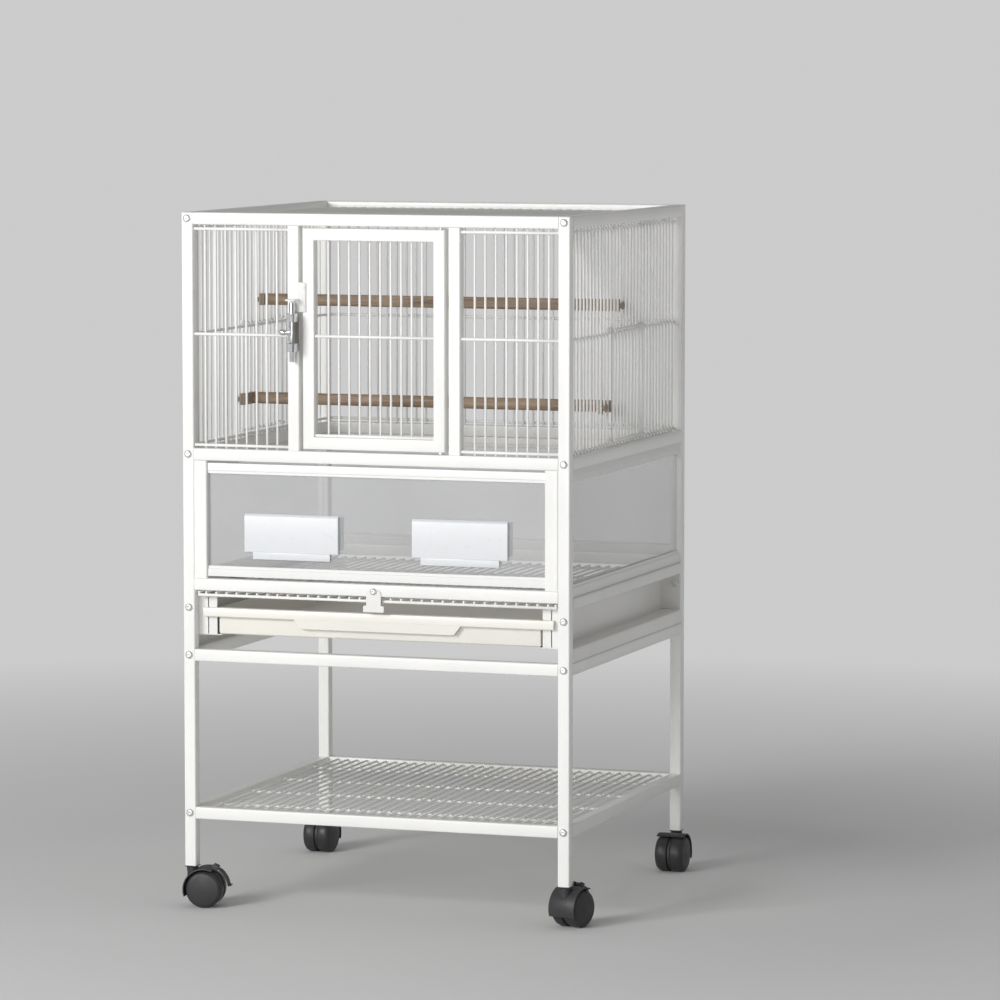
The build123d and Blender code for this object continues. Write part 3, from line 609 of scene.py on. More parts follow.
# Side panels with their lift-up doors
side_wire_inset = 0.010
side_wire_x = half_width - side_wire_inset
side_cross_x = side_wire_x - (wire + cross_wire) / 2
side_door_step = 0.0042
side_door_x = side_wire_x + side_door_step
side_door_cross_x = side_door_x + (wire + cross_wire) / 2
side_door_first = -0.06525
side_door_last = 0.07975
side_door_lift = 0.0042
eye_wire = 0.0016
eye_gap = 0.00055


def side_wires(sign):
    x = sign * side_wire_x
    uprights = []
    for y in grid(-inner_y, inner_y):
        if side_door_first + 1e-4 < y < side_door_last - 1e-4:
            uprights.append(((x, y, mid_rail_top), (x, y, cross_low + cross_wire / 2)))
            uprights.append(((x, y, cross_mid - cross_wire / 2), (x, y, top_rail_z)))
        else:
            uprights.append(((x, y, mid_rail_top), (x, y, top_rail_z)))
    crossings = [((sign * side_cross_x, -inner_y, z), (sign * side_cross_x, inner_y, z)) for z in levels]
    return uprights, crossings


def eye(bm, sign, y, z, toward):
    """Two coils of thin wire round a panel wire, with a tail to the edge wire of the lift-up door."""
    centre = Vector((sign * side_wire_x, y, z))
    radius = wire / 2 + eye_gap + eye_wire / 2
    turns = 2.25
    steps = 28
    points = []
    for step in range(steps + 1):
        angle = turns * 2 * pi * (step / steps - 1) + (0 if sign > 0 else pi)
        climb = (eye_wire * 1.15) * turns * step / steps
        swing = toward * sign * radius * sin(angle)
        points.append(centre + Vector((radius * cos(angle), swing, climb)))
    tail = Vector((sign * side_door_x, y + toward * wire_pitch / 2, points[-1].z))
    points.append(points[-1].lerp(tail, 0.45))
    points.append(tail)
    sweep(bm, points, eye_wire / 2, 8)


def side_door(sign):
    low = cross_low + side_door_lift
    high = cross_mid + side_door_lift
    first = side_door_first + wire_pitch / 2
    last = side_door_last - wire_pitch / 2
    count = round((last - first) / wire_pitch)
    x = sign * side_door_x
    bm = mesh()
    uprights = []
    for number in range(count + 1):
        y = first + number * wire_pitch
        uprights.append(((x, y, low - cross_wire / 2), (x, y, high + cross_wire / 2)))
    cross_x = sign * side_door_cross_x
    crossings = [((cross_x, first - wire / 2, z), (cross_x, last + wire / 2, z)) for z in (low, high)]
    add_wires(bm, uprights, crossings)
    eye_rise = cross_wire / 2 + 0.0014
    for y, toward in ((side_door_first, 1), (side_door_last, -1)):
        for z in (cross_low + eye_rise, cross_mid + eye_rise):
            eye(bm, sign, y, z, toward)
    return bm


for side, sign in (("left", -1), ("right", 1)):
    wire_panel(f"{side}_wires", f"panel_{side}", "frame", *side_wires(sign))
    piece(f"side_door_{side}_wires", side_door(sign), f"lift_door_{side}", "wire_enamel",
          f"side_door_{side}", sharp=50)


# Bolts through the posts
def hexed(first):
    """Shape for a turned form whose rings from one index on are six-sided."""
    def shape(index, angle, radius):
        if index < first:
            return radius
        turn = fmod(angle, pi / 3) - pi / 6
        return radius * cos(pi / 6) / cos(turn)
    return shape


def button_head(bm, centre, direction, radius=0.0052, height=0.0028):
    """Domed button head with a hexagon socket."""
    socket = radius * 0.36
    profile = [
        (radius * 0.93, 0.0), (radius, height * 0.10), (radius * 0.99, height * 0.24),
        (radius * 0.93, height * 0.52), (radius * 0.80, height * 0.78), (radius * 0.62, height * 0.94),
        (socket * 1.12, height), (socket, height * 0.96), (socket * 0.98, height * 0.62),
        (socket * 0.4, height * 0.58),
    ]
    revolve(bm, profile, centre, direction, 24, hexed(7))


bm = mesh()
bolt_levels = [z + tube / 2 for z in (shelf_rail_z, stand_rail_z, mid_rail_z, top_rail_z)]
bolt_levels.insert(2, runner_bolt_z)
for front in (-1, 1):
    for sign in (-1, 1):
        for z in bolt_levels:
            button_head(bm, (sign * post_x, front * half_depth, z), (0, front, 0))
piece("bolt_heads", bm, "frame", "bolt", "frame_bolts")

# Post caps and caster sockets
cap_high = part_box("post_caps")[1]
socket_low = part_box("leg_sockets")[0]
caps = mesh()
sockets = mesh()
cap_thickness = 0.001
flange = 0.0015
socket_half = tube / 2 + 0.0001
collar_profile = mm((6.2, 0.0), (6.2, -0.2), (5.6, -0.3))
for sign in (-1, 1):
    for front in (-1, 1):
        x = sign * post_x
        y = front * post_y
        half = tube / 2
        bottom = cap_high.z - cap_thickness
        add_box(caps, (x - half, y - half, bottom), (x + half, y + half, cap_high.z), 0.0009, 3)
        half = socket_half
        bottom = socket_low.z
        add_box(sockets, (x - half, y - half, bottom), (x + half, y + half, bottom + flange), 0.0006, 2)
        revolve(sockets, collar_profile, (x, y, bottom), (0, 0, 1), 24)
piece("post_cap_tops", caps, "frame", "cap", "post_caps")
piece("caster_sockets", sockets, "frame", "caster_socket", "leg_sockets")

# Clear sheets and their channels
for node in ("guard_sheet_rear", "guard_sheet_left", "guard_sheet_right", "flap_sheet"):
    sheet_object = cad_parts[node]
    sheet_object.data.materials.clear()
    sheet_object.data.materials.append(clear)


def add_channel(bm, axis, low, high, opens_up, slot_depth=0.008, slot_half=0.0011, corner=0.0009):
    """Extruded channel with softened corners, a slot for the sheet and a bead beside the slot."""
    (u0, v0, u1, v1), start, end = section_of(axis, low, high)
    middle = (u0 + u1) / 2
    bead = 0.0012
    shoulder = (u1 - u0) / 2 - bead
    height = v1 - v0
    side = shoulder + bead
    soft = 0.0004
    half = [
        (slot_half, height - slot_depth), (slot_half, height - soft), (slot_half + soft, height),
        (shoulder - soft, height), (shoulder, height - soft), (shoulder, height - 0.0034),
        (side - corner / 2, height - 0.0037), (side, height - 0.0042), (side, corner),
        (side - corner * 0.3, corner * 0.3), (side - corner, 0.0),
    ]
    outline = [(middle + u, v) for u, v in half] + [(middle - u, v) for u, v in reversed(half)]
    rings = []
    for place in (start, end):
        rings.append([along(axis, u, v0 + v if opens_up else v1 - v, place) for u, v in outline])
    loft(bm, rings)


channel_height = 0.014
side_channel_height = 0.017
side_band_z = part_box("runner_panel_left")[1].z
half_channel = 0.005


def channel_spans(bottom, height):
    """Lowest and highest level of the lower and the upper channel, and whether each opens upward."""
    return ((bottom, bottom + height, True), (mid_rail_z - height, mid_rail_z, False))


bm = mesh()
near = post_y - half_channel
far = post_y + half_channel
for z0, z1, up in channel_spans(lower_rail_z + tube, channel_height):
    add_channel(bm, "x", (-inner_x, near, z0), (inner_x, far, z1), up)
for sign in (-1, 1):
    near = sign * post_x - half_channel
    far = sign * post_x + half_channel
    for z0, z1, up in channel_spans(side_band_z, side_channel_height):
        add_channel(bm, "y", (near, -inner_y, z0), (far, inner_y, z1), up)
piece("sheet_channels", bm, "frame", "channel", "guard_channels")

flap_low, flap_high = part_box("flap_channels")
flap_side_gap = 0.0005
flap_half = inner_x - guard_stile_width - flap_side_gap
flap_axis_z = flap_high.z - channel_height / 2
bm = mesh()
add_channel(bm, "x", (-flap_half, flap_low.y, flap_high.z - channel_height),
            (flap_half, flap_high.y, flap_high.z), False)
add_channel(bm, "x", (-flap_half, flap_low.y, flap_low.z),
            (flap_half, flap_high.y, flap_low.z + channel_height), True)
piece("flap_bars", bm, "guard_flap", "channel", "flap_channels")
bm = mesh()
pin_root = 0.004
flap_pin = mm((2.4, 0.0), (2.5, 0.2), (2.5, 9.2), (2.1, 9.6))
for sign in (-1, 1):
    base = sign * (flap_half - pin_root)
    revolve(bm, flap_pin, (base, -post_y, flap_axis_z), (sign, 0, 0), 20)
piece("flap_pins", bm, "guard_flap", "bolt")


# Seed cups
def add_open_box(bm, low, high, wall, edge):
    """Box open at the top with rounded outer edges and one wall thickness."""
    low = Vector(low)
    high = Vector(high)
    verts = add_block(bm, low, high)
    top_z = high.z - 1e-6
    edges = [e for e in edges_of(verts) if not all(v.co.z > top_z for v in e.verts)]
    soften(bm, edges, edge, 3)
    inside = lambda v: low.x - 1e-5 < v.co.x < high.x + 1e-5 and low.y - 1e-5 < v.co.y < high.y + 1e-5
    tops = [f for f in bm.faces if all(v.co.z > top_z and inside(v) for v in f.verts)]
    bmesh.ops.inset_region(bm, faces=tops, thickness=wall, depth=0.0, use_even_offset=True)
    sunk = bmesh.ops.extrude_face_region(bm, geom=tops)
    moved = [v for v in sunk["geom"] if isinstance(v, bmesh.types.BMVert)]
    for vert in moved:
        vert.co.z = low.z + wall
    bmesh.ops.delete(bm, geom=tops, context="FACES")


def feeder(side, sign):
    """Seed cup with a broad face outside the sheet: bevelled top, straight sides, a foot below."""
    low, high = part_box(f"feeder_{side}")
    middle = (low.x + high.x) / 2
    face_back = low.y + 0.0027
    foot_top = low.z + 0.0095
    lip = 0.0032
    bm = mesh()
    half = (high.x - low.x) / 2
    top = foot_top + 0.051
    profile = [
        (face_back, foot_top), (low.y + 0.0006, foot_top), (low.y, foot_top + 0.0006),
        (low.y, top - 0.0042), (low.y + 0.0004, top - 0.0030), (face_back - 0.0006, top - 0.0004),
        (face_back, top),
    ]
    rings = []
    soft = 0.0005
    centre_z = (foot_top + top) / 2
    for place, inset in ((-half, soft), (soft - half, 0.0), (half - soft, 0.0), (half, soft)):
        x = middle + place
        ring = []
        for y, z in profile:
            ring.append((x, min(y + inset, face_back), z + (inset if z < centre_z else -inset)))
        rings.append(ring)
    loft(bm, rings)
    foot_half = 0.1090 / 2
    foot_low = (middle - foot_half, low.y + 0.0004, low.z)
    add_box(bm, foot_low, (middle + foot_half, face_back, foot_top + 0.0004), 0.0007, 2)
    cup_half = half - lip
    cup_low = (middle - cup_half, face_back - 0.0006, foot_top + lip)
    add_open_box(bm, cup_low, (middle + cup_half, high.y, top - lip), 0.0021, 0.0024)
    piece(f"seed_cup_{side}", bm, f"seed_cup_{side}", "feeder", f"feeder_{side}")


feeder("left", -1)
feeder("right", 1)


# Pressed side panels and the tray
def thickened(path, thickness, radius, steps=4):
    """Outline of a bent sheet: a path of corner points, rounded, with the thickness to its left."""
    centre = []
    for i, point in enumerate(path):
        if i in (0, len(path) - 1):
            centre.append(Vector(point))
            continue
        here = Vector(point)
        before = (Vector(path[i - 1]) - here).normalized()
        after = (Vector(path[i + 1]) - here).normalized()
        for step in range(steps + 1):
            t = step / steps
            a = here + before * radius * (1 - t)
            b = here + after * radius * t
            centre.append(a.lerp(b, t))
    left = []
    for i, point in enumerate(centre):
        before = centre[max(i - 1, 0)]
        after = centre[min(i + 1, len(centre) - 1)]
        direction = (after - before).normalized()
        left.append(point + Vector((-direction.y, direction.x)) * thickness)
    return centre + left[::-1]


recess_depth = 0.029
ledge_rise = 0.018
recess_height = 0.051
ledge_depth = 0.048
tab_depth = 0.042


def runner_panel(side, sign):
    """Pressed panel: flush bands, a recess between them, a tray ledge, and a tab at each end."""
    low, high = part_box(f"runner_panel_{side}")
    s = steel_sheet
    outer = half_width
    recess = half_width - recess_depth
    ledge_z = low.z + ledge_rise
    web_z = ledge_z + recess_height
    bm = mesh()
    path = [(inner_x, low.z), (outer, low.z), (outer, ledge_z + s), (recess, ledge_z + s), (recess, web_z),
            (outer, web_z), (outer, high.z), (inner_x, high.z)]
    outline = thickened(path, s, 0.0022)
    rings = []
    for y in (-inner_y, inner_y):
        rings.append([(sign * u, y, v) for u, v in outline])
    loft(bm, rings)
    ledge_inner = outer - ledge_depth
    near, far = sorted((sign * ledge_inner, sign * (recess + 0.0005)))
    add_box(bm, (near, -inner_y, ledge_z), (far, inner_y, ledge_z + s), 0.0004, 1)
    for end in (-1, 1):
        x0, x1 = sorted((sign * (outer - tab_depth), sign * (outer - s)))
        y0, y1 = sorted((end * inner_y, end * (inner_y - s)))
        add_box(bm, (x0, y0, ledge_z + s), (x1, y1, web_z), 0.0004, 1)
    piece(f"side_pressing_{side}", bm, "frame", "panel_enamel", f"runner_panel_{side}")


bm = mesh()
nut = mm((5.2, 0.0), (5.2, 1.4), (4.4, 2.2), (3.0, 2.4), (2.6, 1.2))
for side, sign in (("left", -1), ("right", 1)):
    runner_panel(side, sign)
    for end in (-1, 1):
        seat = (sign * post_x, end * (inner_y - steel_sheet), runner_bolt_z)
        revolve(bm, nut, seat, (0, -end, 0), 6)
piece("runner_nuts", bm, "frame", "bolt")


def tray():
    """Pan with rounded corners, a folded lip across its front and a deeper pull in the middle."""
    low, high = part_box("tray")
    tray_gap = 0.002
    half = half_width - tab_depth - tray_gap
    lip_half = inner_x - 0.009
    wall = 0.0018
    bottom = high.z - 0.0358
    front = -inner_y + 0.0003
    lip_front = low.y
    lip_low = high.z - 0.0123
    bm = mesh()
    add_open_box(bm, (-half, front, bottom), (half, high.y, high.z), wall, 0.003)
    fold_top = high.z - 0.0001
    add_box(bm, (-half, lip_front + 0.004, high.z - wall), (half, front + 0.0008, fold_top), 0.0004, 1)
    fold_back = lip_front + 0.0067
    profile = [
        (lip_front + 0.0010, lip_low), (lip_front, lip_low + 0.0010), (lip_front, high.z - 0.0016),
        (lip_front + 0.0005, high.z - 0.0005), (lip_front + 0.0016, high.z), (fold_back, high.z),
        (fold_back, high.z - wall), (lip_front + 0.0024, high.z - wall),
        (lip_front + wall, high.z - 0.0028), (lip_front + wall, lip_low),
    ]
    loft(bm, [[(x, y, z) for y, z in profile] for x in (-lip_half, lip_half)])
    pull_half = 0.211 / 2
    slope = 0.012
    drop = 0.012
    outline = [(-pull_half - slope, lip_low + 0.0008)]
    for side in (-1, 1):
        foot = (side * pull_half, lip_low - drop)
        outline += [(foot[0] - 0.003, foot[1] + (0.0008 if side < 0 else 0.0)),
                    (foot[0] + 0.003, foot[1] + (0.0 if side < 0 else 0.0008))]
    outline.append((pull_half + slope, lip_low + 0.0008))
    rings = []
    for y, inset in ((lip_front + 0.0001, 0.0005), (lip_front + 0.0006, 0.0), (lip_front + wall, 0.0)):
        ring = []
        for x, z in outline:
            rise = inset if z < lip_low - 0.001 else 0.0
            ring.append((x * (1 - inset * 4), y, z + rise))
        rings.append(ring)
    loft(bm, rings)
    piece("litter_tray", bm, "tray_body", "tray_enamel", "tray", sharp=28)


tray()

# Perches with their clips
for name in ("perch_high", "perch_low"):
    low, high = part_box(name)
    radius = (high.z - low.z) / 2
    y = (low.y + high.y) / 2
    z = (low.z + high.z) / 2
    reach = side_wire_x - wire / 2 - high.x
    length = high.x - low.x + 2 * reach
    bm = mesh()
    profile = [(radius * 0.86, 0.0), (radius * 0.96, 0.0006), (radius, 0.0018)]
    for k in range(1, 40):
        share = k / 40
        swell = 1.0 - 0.012 * (0.5 + 0.5 * sin(share * 31.0 + z * 40.0))
        profile.append((radius * swell, length * share))
    profile += [(radius, length - 0.0018), (radius * 0.96, length - 0.0006), (radius * 0.86, length)]
    revolve(bm, profile, (low.x - reach, y, z), (1, 0, 0), 36)
    piece(f"{name}_dowel", bm, "frame", "perch", name)

clip_half_width = 0.0085
clip_foot = 0.006
clip_back = side_cross_x - cross_wire / 2
held_wire = {"perch_high": -wire_pitch / 2, "perch_low": side_door_first - wire_pitch}
clip_nose = mm((7.2, 0.0), (7.2, 1.6), (6.4, 2.4))
clip_hub = mm((3.6, -2.2), (3.6, 0.0), (5.2, 0.6), (5.2, 2.2), (4.2, 2.8))
half_foot = clip_foot / 2
bm = mesh()
for name, held in held_wire.items():
    low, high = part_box(name)
    radius = (high.z - low.z) / 2
    y = (low.y + high.y) / 2
    z = (low.z + high.z) / 2
    for sign in (-1, 1):
        near = sign * high.x
        back = sign * clip_back
        wire_face = sign * (side_wire_x - wire / 2)
        low_y = min(y - clip_half_width, held - half_foot)
        x0, x1 = sorted((near, back))
        add_box(bm, (x0, low_y, z - radius), (x1, y + clip_half_width, z + radius), 0.0013, 3)
        x0, x1 = sorted((back - sign * 0.0008, wire_face))
        add_box(bm, (x0, held - half_foot, z - radius), (x1, held + half_foot, z + radius), 0.0008, 2)
        revolve(bm, clip_nose, (near - sign * 0.0016, y, z), (sign, 0, 0), 24)
        hub = sign * (side_wire_x + wire / 2)
        revolve(bm, clip_hub, (hub, held, z), (sign, 0, 0), 24)
piece("perch_end_clips", bm, "frame", "perch_clip", "perch_clips")

# Grille tab and its screw
tab_low, tab_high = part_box("grille_tab")
tab_sheet = 0.0015
tab_front = -half_depth - 0.0003 - tab_sheet
tab_half = 0.0205 / 2
foot_half = 0.029 / 2
foot_top = tab_low.z + 0.0085
tab_crown = 0.006
tab_shoulder = tab_high.z - tab_crown
bm = mesh()
outline = [(-foot_half, tab_low.z + 0.001), (-foot_half + 0.001, tab_low.z), (foot_half - 0.001, tab_low.z),
           (foot_half, tab_low.z + 0.001), (foot_half, foot_top - 0.0006), (tab_half, foot_top),
           (tab_half, tab_shoulder)]
for degrees in range(15, 180, 15):
    turn = radians(degrees)
    outline.append((tab_half * cos(turn), tab_shoulder + tab_crown * sin(turn)))
outline += [(-tab_half, tab_shoulder), (-tab_half, foot_top), (-foot_half, foot_top - 0.0006)]
centre_z = (tab_low.z + tab_high.z) / 2
rings = []
for y, inset in ((tab_front, 0.0004), (tab_front + 0.0004, 0.0), (tab_front + tab_sheet, 0.0)):
    narrowed = 1 - inset * 30
    rings.append([(x * narrowed, y, z + copysign(inset, centre_z - z)) for x, z in outline])
loft(bm, rings)
return_top = floor_low.z
return_low = (-tab_half, tab_front + 0.0006, return_top - tab_sheet)
add_box(bm, return_low, (tab_half, tab_high.y, return_top), 0.0003, 1)
piece("grille_pull_tab", bm, "grille_body", "panel_enamel", "grille_tab")
screw_low, screw_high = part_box("grille_screw")
screw_z = (screw_low.z + screw_high.z) / 2
bm = mesh()
button_head(bm, (0, tab_front, screw_z), (0, -1, 0), 0.0045, 0.0028)
revolve(bm, mm((2.4, 0.0), (2.4, 18.0), (1.2, 19.8)), (0, tab_front, screw_z), (0, 1, 0), 16)
piece("grille_thumb_screw", bm, "grille_body", "bolt", "grille_screw")

# Latch: a folded case, a sliding rod with a knob, and the catch on the door
case_low, case_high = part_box("latch_case")
rod_low, rod_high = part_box("latch_rod")
rod_radius = 0.004
rod_x = rod_high.x - rod_radius
rod_y = (rod_low.y + rod_high.y) / 2
bm = mesh()
case_left = case_low.x
case_right = case_high.x
front = -half_depth - 0.017
back = -half_depth
fold = 0.0015
wall_left = case_left + 0.0045
wall_right = case_right - 0.0002
band = 0.011
slot_top = case_high.z - 0.0030


def add_bent(path, bottom, top):
    """Part of the case, a bent strip between two levels."""
    outline = thickened(path, -fold * 0.8, 0.002)
    loft(bm, [[(u, v, z) for u, v in outline] for z in (bottom, top)])


right_path = [(wall_right, front), (wall_right, back)]
case_path = [(case_left, back), (wall_left, back), (wall_left, front), *right_path]
add_bent(case_path, case_low.z, case_low.z + band)
add_bent(case_path, slot_top, case_high.z)
add_bent([(case_left + 0.0052, front), *right_path], case_high.z - band, slot_top)
add_box(bm, (case_left, back - fold, case_low.z), (case_right, back, case_high.z), 0.0004, 1)
eye_inner = rod_radius + 0.0006
eye_outer = 0.0064
x_way = Vector((1, 0, 0))
y_way = Vector((0, 1, 0))
for z in (case_low.z, case_high.z - fold):
    rings = []
    for radius, height in ((eye_inner, 0.0), (eye_outer, 0.0), (eye_outer, fold), (eye_inner, fold)):
        rings.append(circle(Vector((rod_x, rod_y, z + height)), x_way, y_way, radius, 28))
    loft(bm, rings, loop=True)
screw_inset = 0.0165
for z in (case_low.z + screw_inset, case_high.z - screw_inset):
    button_head(bm, (wall_left, back - fold, z), (0, -1, 0), 0.0026, 0.0014)
piece("latch_housing", bm, "frame", "latch", "latch_case")
# Painted shade: a dark plate laid over the right side face of the latch case paints the shade and dark
# reflection on that face.
bm = mesh()
plate_low = (case_right - 0.0015, back - 0.022, case_low.z)
add_box(bm, plate_low, (case_right, back, case_high.z), 0.0005, 2)
piece("latch_side_painted_shade", bm, "frame", "latch", material=painted_shade_plate)

bm = mesh()
length = rod_high.z - rod_low.z
profile = [
    (0.0022, 0.0), (0.0034, 0.0006), (rod_radius, 0.0018), (rod_radius, length - 0.0018),
    (0.0034, length - 0.0006), (0.0022, length),
]
revolve(bm, profile, (rod_x, rod_y, rod_low.z), (0, 0, 1), 32)
knob_z = (case_low.z + case_high.z) / 2
knob_length = rod_x - rod_low.x
profile = [
    (0.0030, rod_radius * 0.6), (0.0026, 0.0085), (0.0030, 0.0095), (0.0039, 0.0110),
    (0.0040, knob_length - 0.0016), (0.0033, knob_length - 0.0003), (0.0020, knob_length),
]
revolve(bm, profile, (rod_x, rod_y, knob_z), (-1, 0, 0), 28)
piece("latch_sliding_rod", bm, "latch_bolt", "latch", "latch_rod")
bm = mesh()
coil_radius = rod_radius + 0.0007
coil_low = case_low.z + 0.012
coil_high = knob_z - 0.0045
turns = 7
steps = turns * 18
points = []
for step in range(steps + 1):
    angle = 2 * pi * turns * step / steps
    height = coil_low + (coil_high - coil_low) * step / steps
    points.append((rod_x + coil_radius * cos(angle), rod_y + coil_radius * sin(angle), height))
sweep(bm, points, 0.00035, 6)
piece("latch_spring", bm, "frame", "latch", material=zinc)

catch_low, catch_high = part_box("door_catch")
bm = mesh()
left = -door_opening / 2 - 0.0005
catch_right = catch_high.x - 0.0035
add_box(bm, (left, -half_depth - 0.002, catch_low.z), (catch_right, -half_depth, catch_high.z), 0.0007, 2)
ear_z = rod_high.z + 0.0015
ear_left = rod_x - rod_radius - 0.004
outline = rounded_outline(ear_left, -half_depth - 0.017, left + 0.002, -half_depth - 0.0005, 0.0035, 5)
rings = []
hole = []
hole_radius = rod_radius + 0.0012
count = len(outline)
for k in range(count):
    u, v = outline[k]
    angle = atan2(v - rod_y, u - rod_x)
    hole.append((rod_x + hole_radius * cos(angle), rod_y + hole_radius * sin(angle)))
for points, z in ((outline, ear_z), (outline, ear_z + 0.002), (hole, ear_z + 0.002), (hole, ear_z)):
    rings.append([(u, v, z) for u, v in points])
loft(bm, rings, loop=True)
for z in (catch_low.z + 0.007, catch_high.z - 0.007):
    revolve(bm, mm((2.0, 0.0), (2.0, 0.4), (1.6, 0.8), (0.6, 1.0)),
            (catch_right - 0.0030, -half_depth - 0.002, z), (0, -1, 0), 18)
piece("door_catch_plate", bm, "front_door", "cap", "door_catch")

# Pivot pins of the door, each with its root inside the frame
pivot_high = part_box("door_pivots")[1]
pin_radius = 0.0025
hinge_x = door_high.x - tube / 2
pin_reach = pivot_high.z - door_high.z
collar = 0.0045
collar_height = 0.0027
bm = mesh()
pin_end = pin_root + pin_reach
pin_profile = [(pin_radius, 0.0), (pin_radius, pin_end - 0.0005), (pin_radius - 0.0004, pin_end)]
for z, up in ((door_high.z, 1), (door_low.z, -1)):
    revolve(bm, pin_profile, (hinge_x, -post_y, z - up * pin_root), (0, 0, up), 24)
revolve(bm, [(collar, -0.001), (collar, collar_height - 0.0003), (collar - 0.0003, collar_height)],
        (hinge_x, -post_y, door_low.z), (0, 0, -1), 24)
piece("door_pivot_pins", bm, "front_door", "bolt", "door_pivots")


# Casters, made round the swivel axis with the wheels trailing along X
def sector(bm, inner, outer, start, end, width, soft=0.0008, steps=18, middle_y=0.0):
    """Part of a ring round the axle, with softened long edges."""
    section = rounded_outline(inner, middle_y - width / 2, outer, middle_y + width / 2, soft, 2)
    rings = []
    for step in range(steps + 1):
        angle = radians(start + (end - start) * step / steps)
        ring = []
        for r, y in section:
            ring.append((caster_trail + r * cos(angle), y, wheel_radius + r * sin(angle)))
        rings.append(ring)
    loft(bm, rings)


hood_inner = wheel_radius + 0.0015
hood_outer = hood_inner + 0.0018
socket_z = socket_low.z
caster_width = 2 * wheel_width + wheel_gap
web = wheel_gap - 0.0010
axle_centre = (caster_trail, 0, wheel_radius)
web_side = (caster_trail, -web / 2, wheel_radius)


def caster_fork(braked):
    bm = mesh()
    sector(bm, hood_inner, hood_outer, 66, 200, caster_width, 0.0007)
    sector(bm, 0.0045, hood_inner + 0.0006, 84, 200, web, 0.0004)
    radius = wheel_radius - 0.0022
    soft = 0.0005
    profile = [(radius - soft, 0.0), (radius, soft), (radius, web - soft), (radius - soft, web)]
    revolve(bm, profile, web_side, y_way, 48)
    revolve(bm, [(0.0080, 0.0), (0.0080, web)], web_side, y_way, 36)
    boss_top = socket_z - 0.0003
    profile = [(0.0074, wheel_radius + 0.006), (0.0074, boss_top - 0.0052), (0.0078, boss_top - 0.0048),
               (0.0078, boss_top - 0.0008), (0.0072, boss_top)]
    if not braked:
        profile[0] = (0.0074, wheel_radius + 0.012)
    revolve(bm, [(r, z - profile[0][1]) for r, z in profile], (0, 0, profile[0][1]), (0, 0, 1), 32)
    revolve(bm, [(0.004, 0.0), (0.004, 0.006)], (0, 0, boss_top - 0.0005), (0, 0, 1), 20)
    if braked:
        for middle_y in (-0.0057, 0.0057):
            sector(bm, hood_inner + 0.0004, hood_outer + 0.0064, 58, 72, 0.002, 0.0006, 5, middle_y)
    return bm


def caster_wheel_pair():
    bm = mesh()
    rim = wheel_radius
    inner = wheel_gap / 2
    outer = inner + wheel_width
    for sign in (-1, 1):
        profile = [
            (0.0042, inner), (rim - 0.0014, inner), (rim - 0.0004, inner + 0.0004), (rim, inner + 0.0012),
            (rim, outer - 0.0060), (rim - 0.0005, outer - 0.0042), (rim - 0.0018, outer - 0.0020),
            (rim - 0.0036, outer - 0.0005), (rim - 0.0054, outer), (0.0074, outer),
            (0.0052, outer + 0.0003), (0.0014, outer + 0.0004),
        ]
        revolve(bm, profile, (caster_trail, 0, wheel_radius), (0, sign, 0), 56)
    axle = outer - 0.005
    revolve(bm, [(0.003, -axle), (0.003, axle)], axle_centre, y_way, 20)
    return bm


def caster_lever():
    bm = mesh()
    inner = hood_outer + 0.0024
    outer = inner + 0.0022
    lever_turn = 62
    sector(bm, inner, outer, 8, 52, 0.014, 0.0007, 12)
    sector(bm, inner, outer, 51, lever_turn, 0.009, 0.0006, 4)
    sector(bm, inner + 0.0004, inner + 0.0046, 6.6, 9.2, 0.0145, 0.0007, 2)
    turn = radians(lever_turn)
    pivot = hood_outer + 0.0038
    centre = (caster_trail + pivot * cos(turn), -0.0045, wheel_radius + pivot * sin(turn))
    revolve(bm, mm((2.2, 0.0), (2.6, 0.3), (2.6, 8.7), (2.2, 9.0)), centre, (0, 1, 0), 24)
    return bm


corner_of = {"fl": (-1, -1), "fr": (1, -1), "rl": (-1, 1), "rr": (1, 1)}
for name, (sign, front) in corner_of.items():
    turn = Matrix.Rotation(radians(caster_yaw[name]), 4, "Z")
    set_down = Matrix.Translation((sign * post_x, front * post_y, 0)) @ turn
    caster = f"caster_{name}"
    braked = name in ("fl", "fr")
    bm = caster_fork(braked)
    bm.transform(set_down)
    piece(f"{caster}_hood", bm, f"swivel_{name}", "caster_body", f"{caster}_fork", sharp=30)
    bm = caster_wheel_pair()
    bm.transform(set_down)
    piece(f"{caster}_wheel_pair", bm, f"wheels_{name}", "caster_wheel", f"{caster}_wheels", sharp=40)
    if braked:
        bm = caster_lever()
        bm.transform(set_down)
        piece(f"{caster}_lever", bm, f"brake_{name}", "caster_body", f"{caster}_brake", sharp=30)

# Floor, light and camera
floor_colour = (0.74, 0.745, 0.74)
backdrop_shade = 0.60


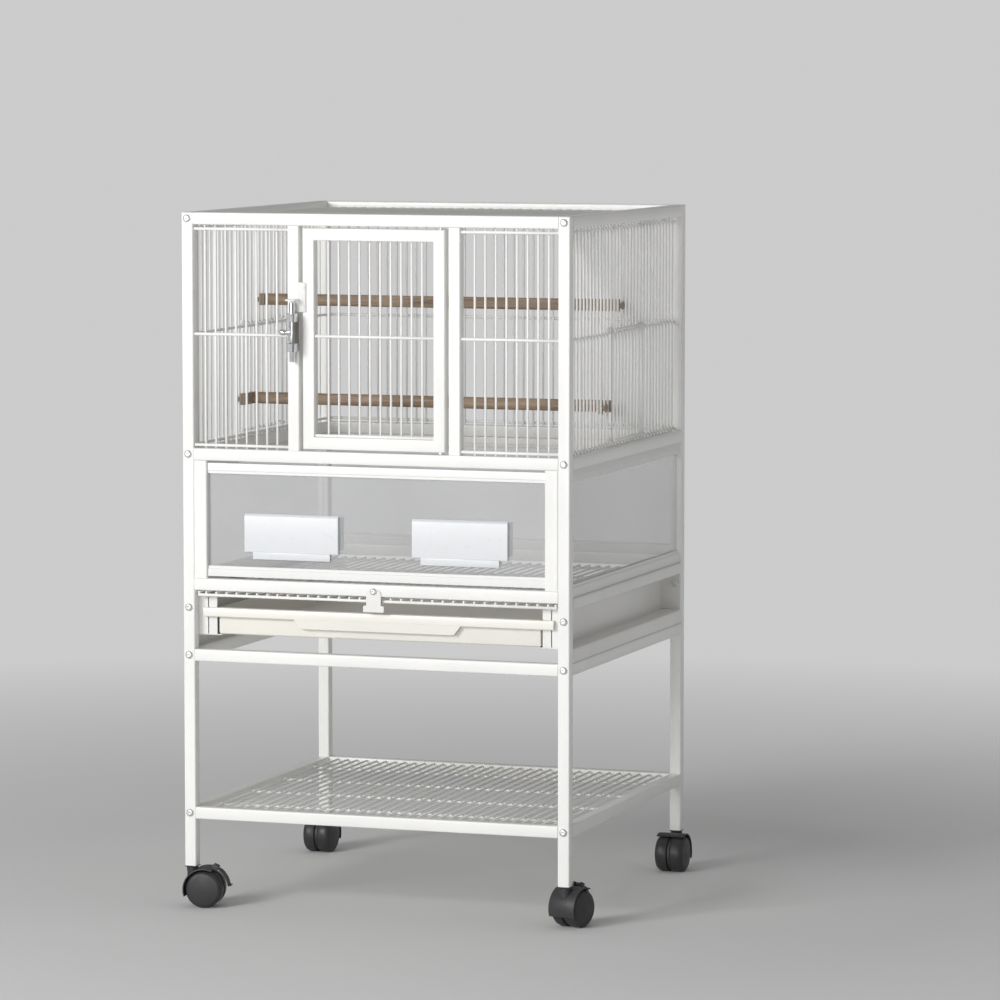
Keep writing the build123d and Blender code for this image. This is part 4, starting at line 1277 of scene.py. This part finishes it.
def floor_material():
    """Pale matt floor that takes the object's shadow and fades into the backdrop far away."""
    shader = Shader("pale_floor", floor_colour, 0.9, Specular_IOR_Level=0.1)
    tone = shader.noise(1.6, 3.0)
    shader.colour(shader.ramp(tone, (0.2, tinted(floor_colour, 0.98)), (0.8, tinted(floor_colour, 1.02))))
    nodes = shader.nodes
    links = shader.links
    distance = nodes.new("ShaderNodeVectorMath")
    distance.operation = "LENGTH"
    links.new(shader.place, distance.inputs[0])
    far = shader.spread(distance.outputs["Value"], 0.0, 1.0, 0.7, 2.6)
    glow = shader.node("Emission", Color=(backdrop_shade, backdrop_shade, backdrop_shade, 1.0))
    mix = nodes.new("ShaderNodeMixShader")
    links.new(far, mix.inputs["Fac"])
    links.new(shader.bsdf.outputs["BSDF"], mix.inputs[1])
    links.new(glow.outputs["Emission"], mix.inputs[2])
    links.new(mix.outputs["Shader"], nodes["Material Output"].inputs["Surface"])
    return shader.material


bpy.ops.mesh.primitive_plane_add(size=60.0, location=(0, 0, 0))
floor = bpy.context.object
floor.name = "floor"
floor.data.materials.append(floor_material())

world = bpy.data.worlds.new("studio")
bpy.context.scene.world = world
world.use_nodes = True
nodes = world.node_tree.nodes
links = world.node_tree.links
background = nodes["Background"]
background.inputs["Color"].default_value = (1.0, 1.0, 1.0, 1.0)
light_path = nodes.new("ShaderNodeLightPath")
seen = nodes.new("ShaderNodeMath")
seen.operation = "MAXIMUM"
links.new(light_path.outputs["Is Camera Ray"], seen.inputs[0])
links.new(light_path.outputs["Is Transmission Ray"], seen.inputs[1])
strength = nodes.new("ShaderNodeMapRange")
fill_strength = 0.25
strength.inputs["To Min"].default_value = fill_strength
strength.inputs["To Max"].default_value = backdrop_shade
links.new(seen.outputs[0], strength.inputs["Value"])
links.new(strength.outputs["Result"], background.inputs["Strength"])


def area_light(name, place, size, power):
    """Square soft lamp that looks at the middle of the object."""
    data = bpy.data.lights.new(name, "AREA")
    data.shape = "RECTANGLE"
    data.size = size
    data.size_y = size
    data.energy = power
    obj = bpy.data.objects.new(name, data)
    obj.location = place
    obj.rotation_euler = (Vector((0, 0, 0.5)) - Vector(place)).to_track_quat("-Z", "Y").to_euler()
    bpy.context.scene.collection.objects.link(obj)


area_light("key", (-1.9, -4.0, 2.1), 1.6, 118)
area_light("low_key", (0.0, -4.6, 0.7), 1.2, 38)
area_light("fill", (3.4, -1.2, 1.4), 2.0, 4)
area_light("top", (0.0, 0.8, 3.4), 2.2, 8)

camera_data = bpy.data.cameras.new("camera")
camera = bpy.data.objects.new("camera", camera_data)
bpy.context.scene.collection.objects.link(camera)
camera.location = (2.2657, -6.3258, 1.1491)
camera.rotation_euler = (radians(84.7458), 0.0, radians(19.0059))
camera_data.sensor_width = 36.0
camera_data.lens = 178.93
bpy.context.scene.camera = camera
bpy.context.scene.view_settings.view_transform = "Standard"
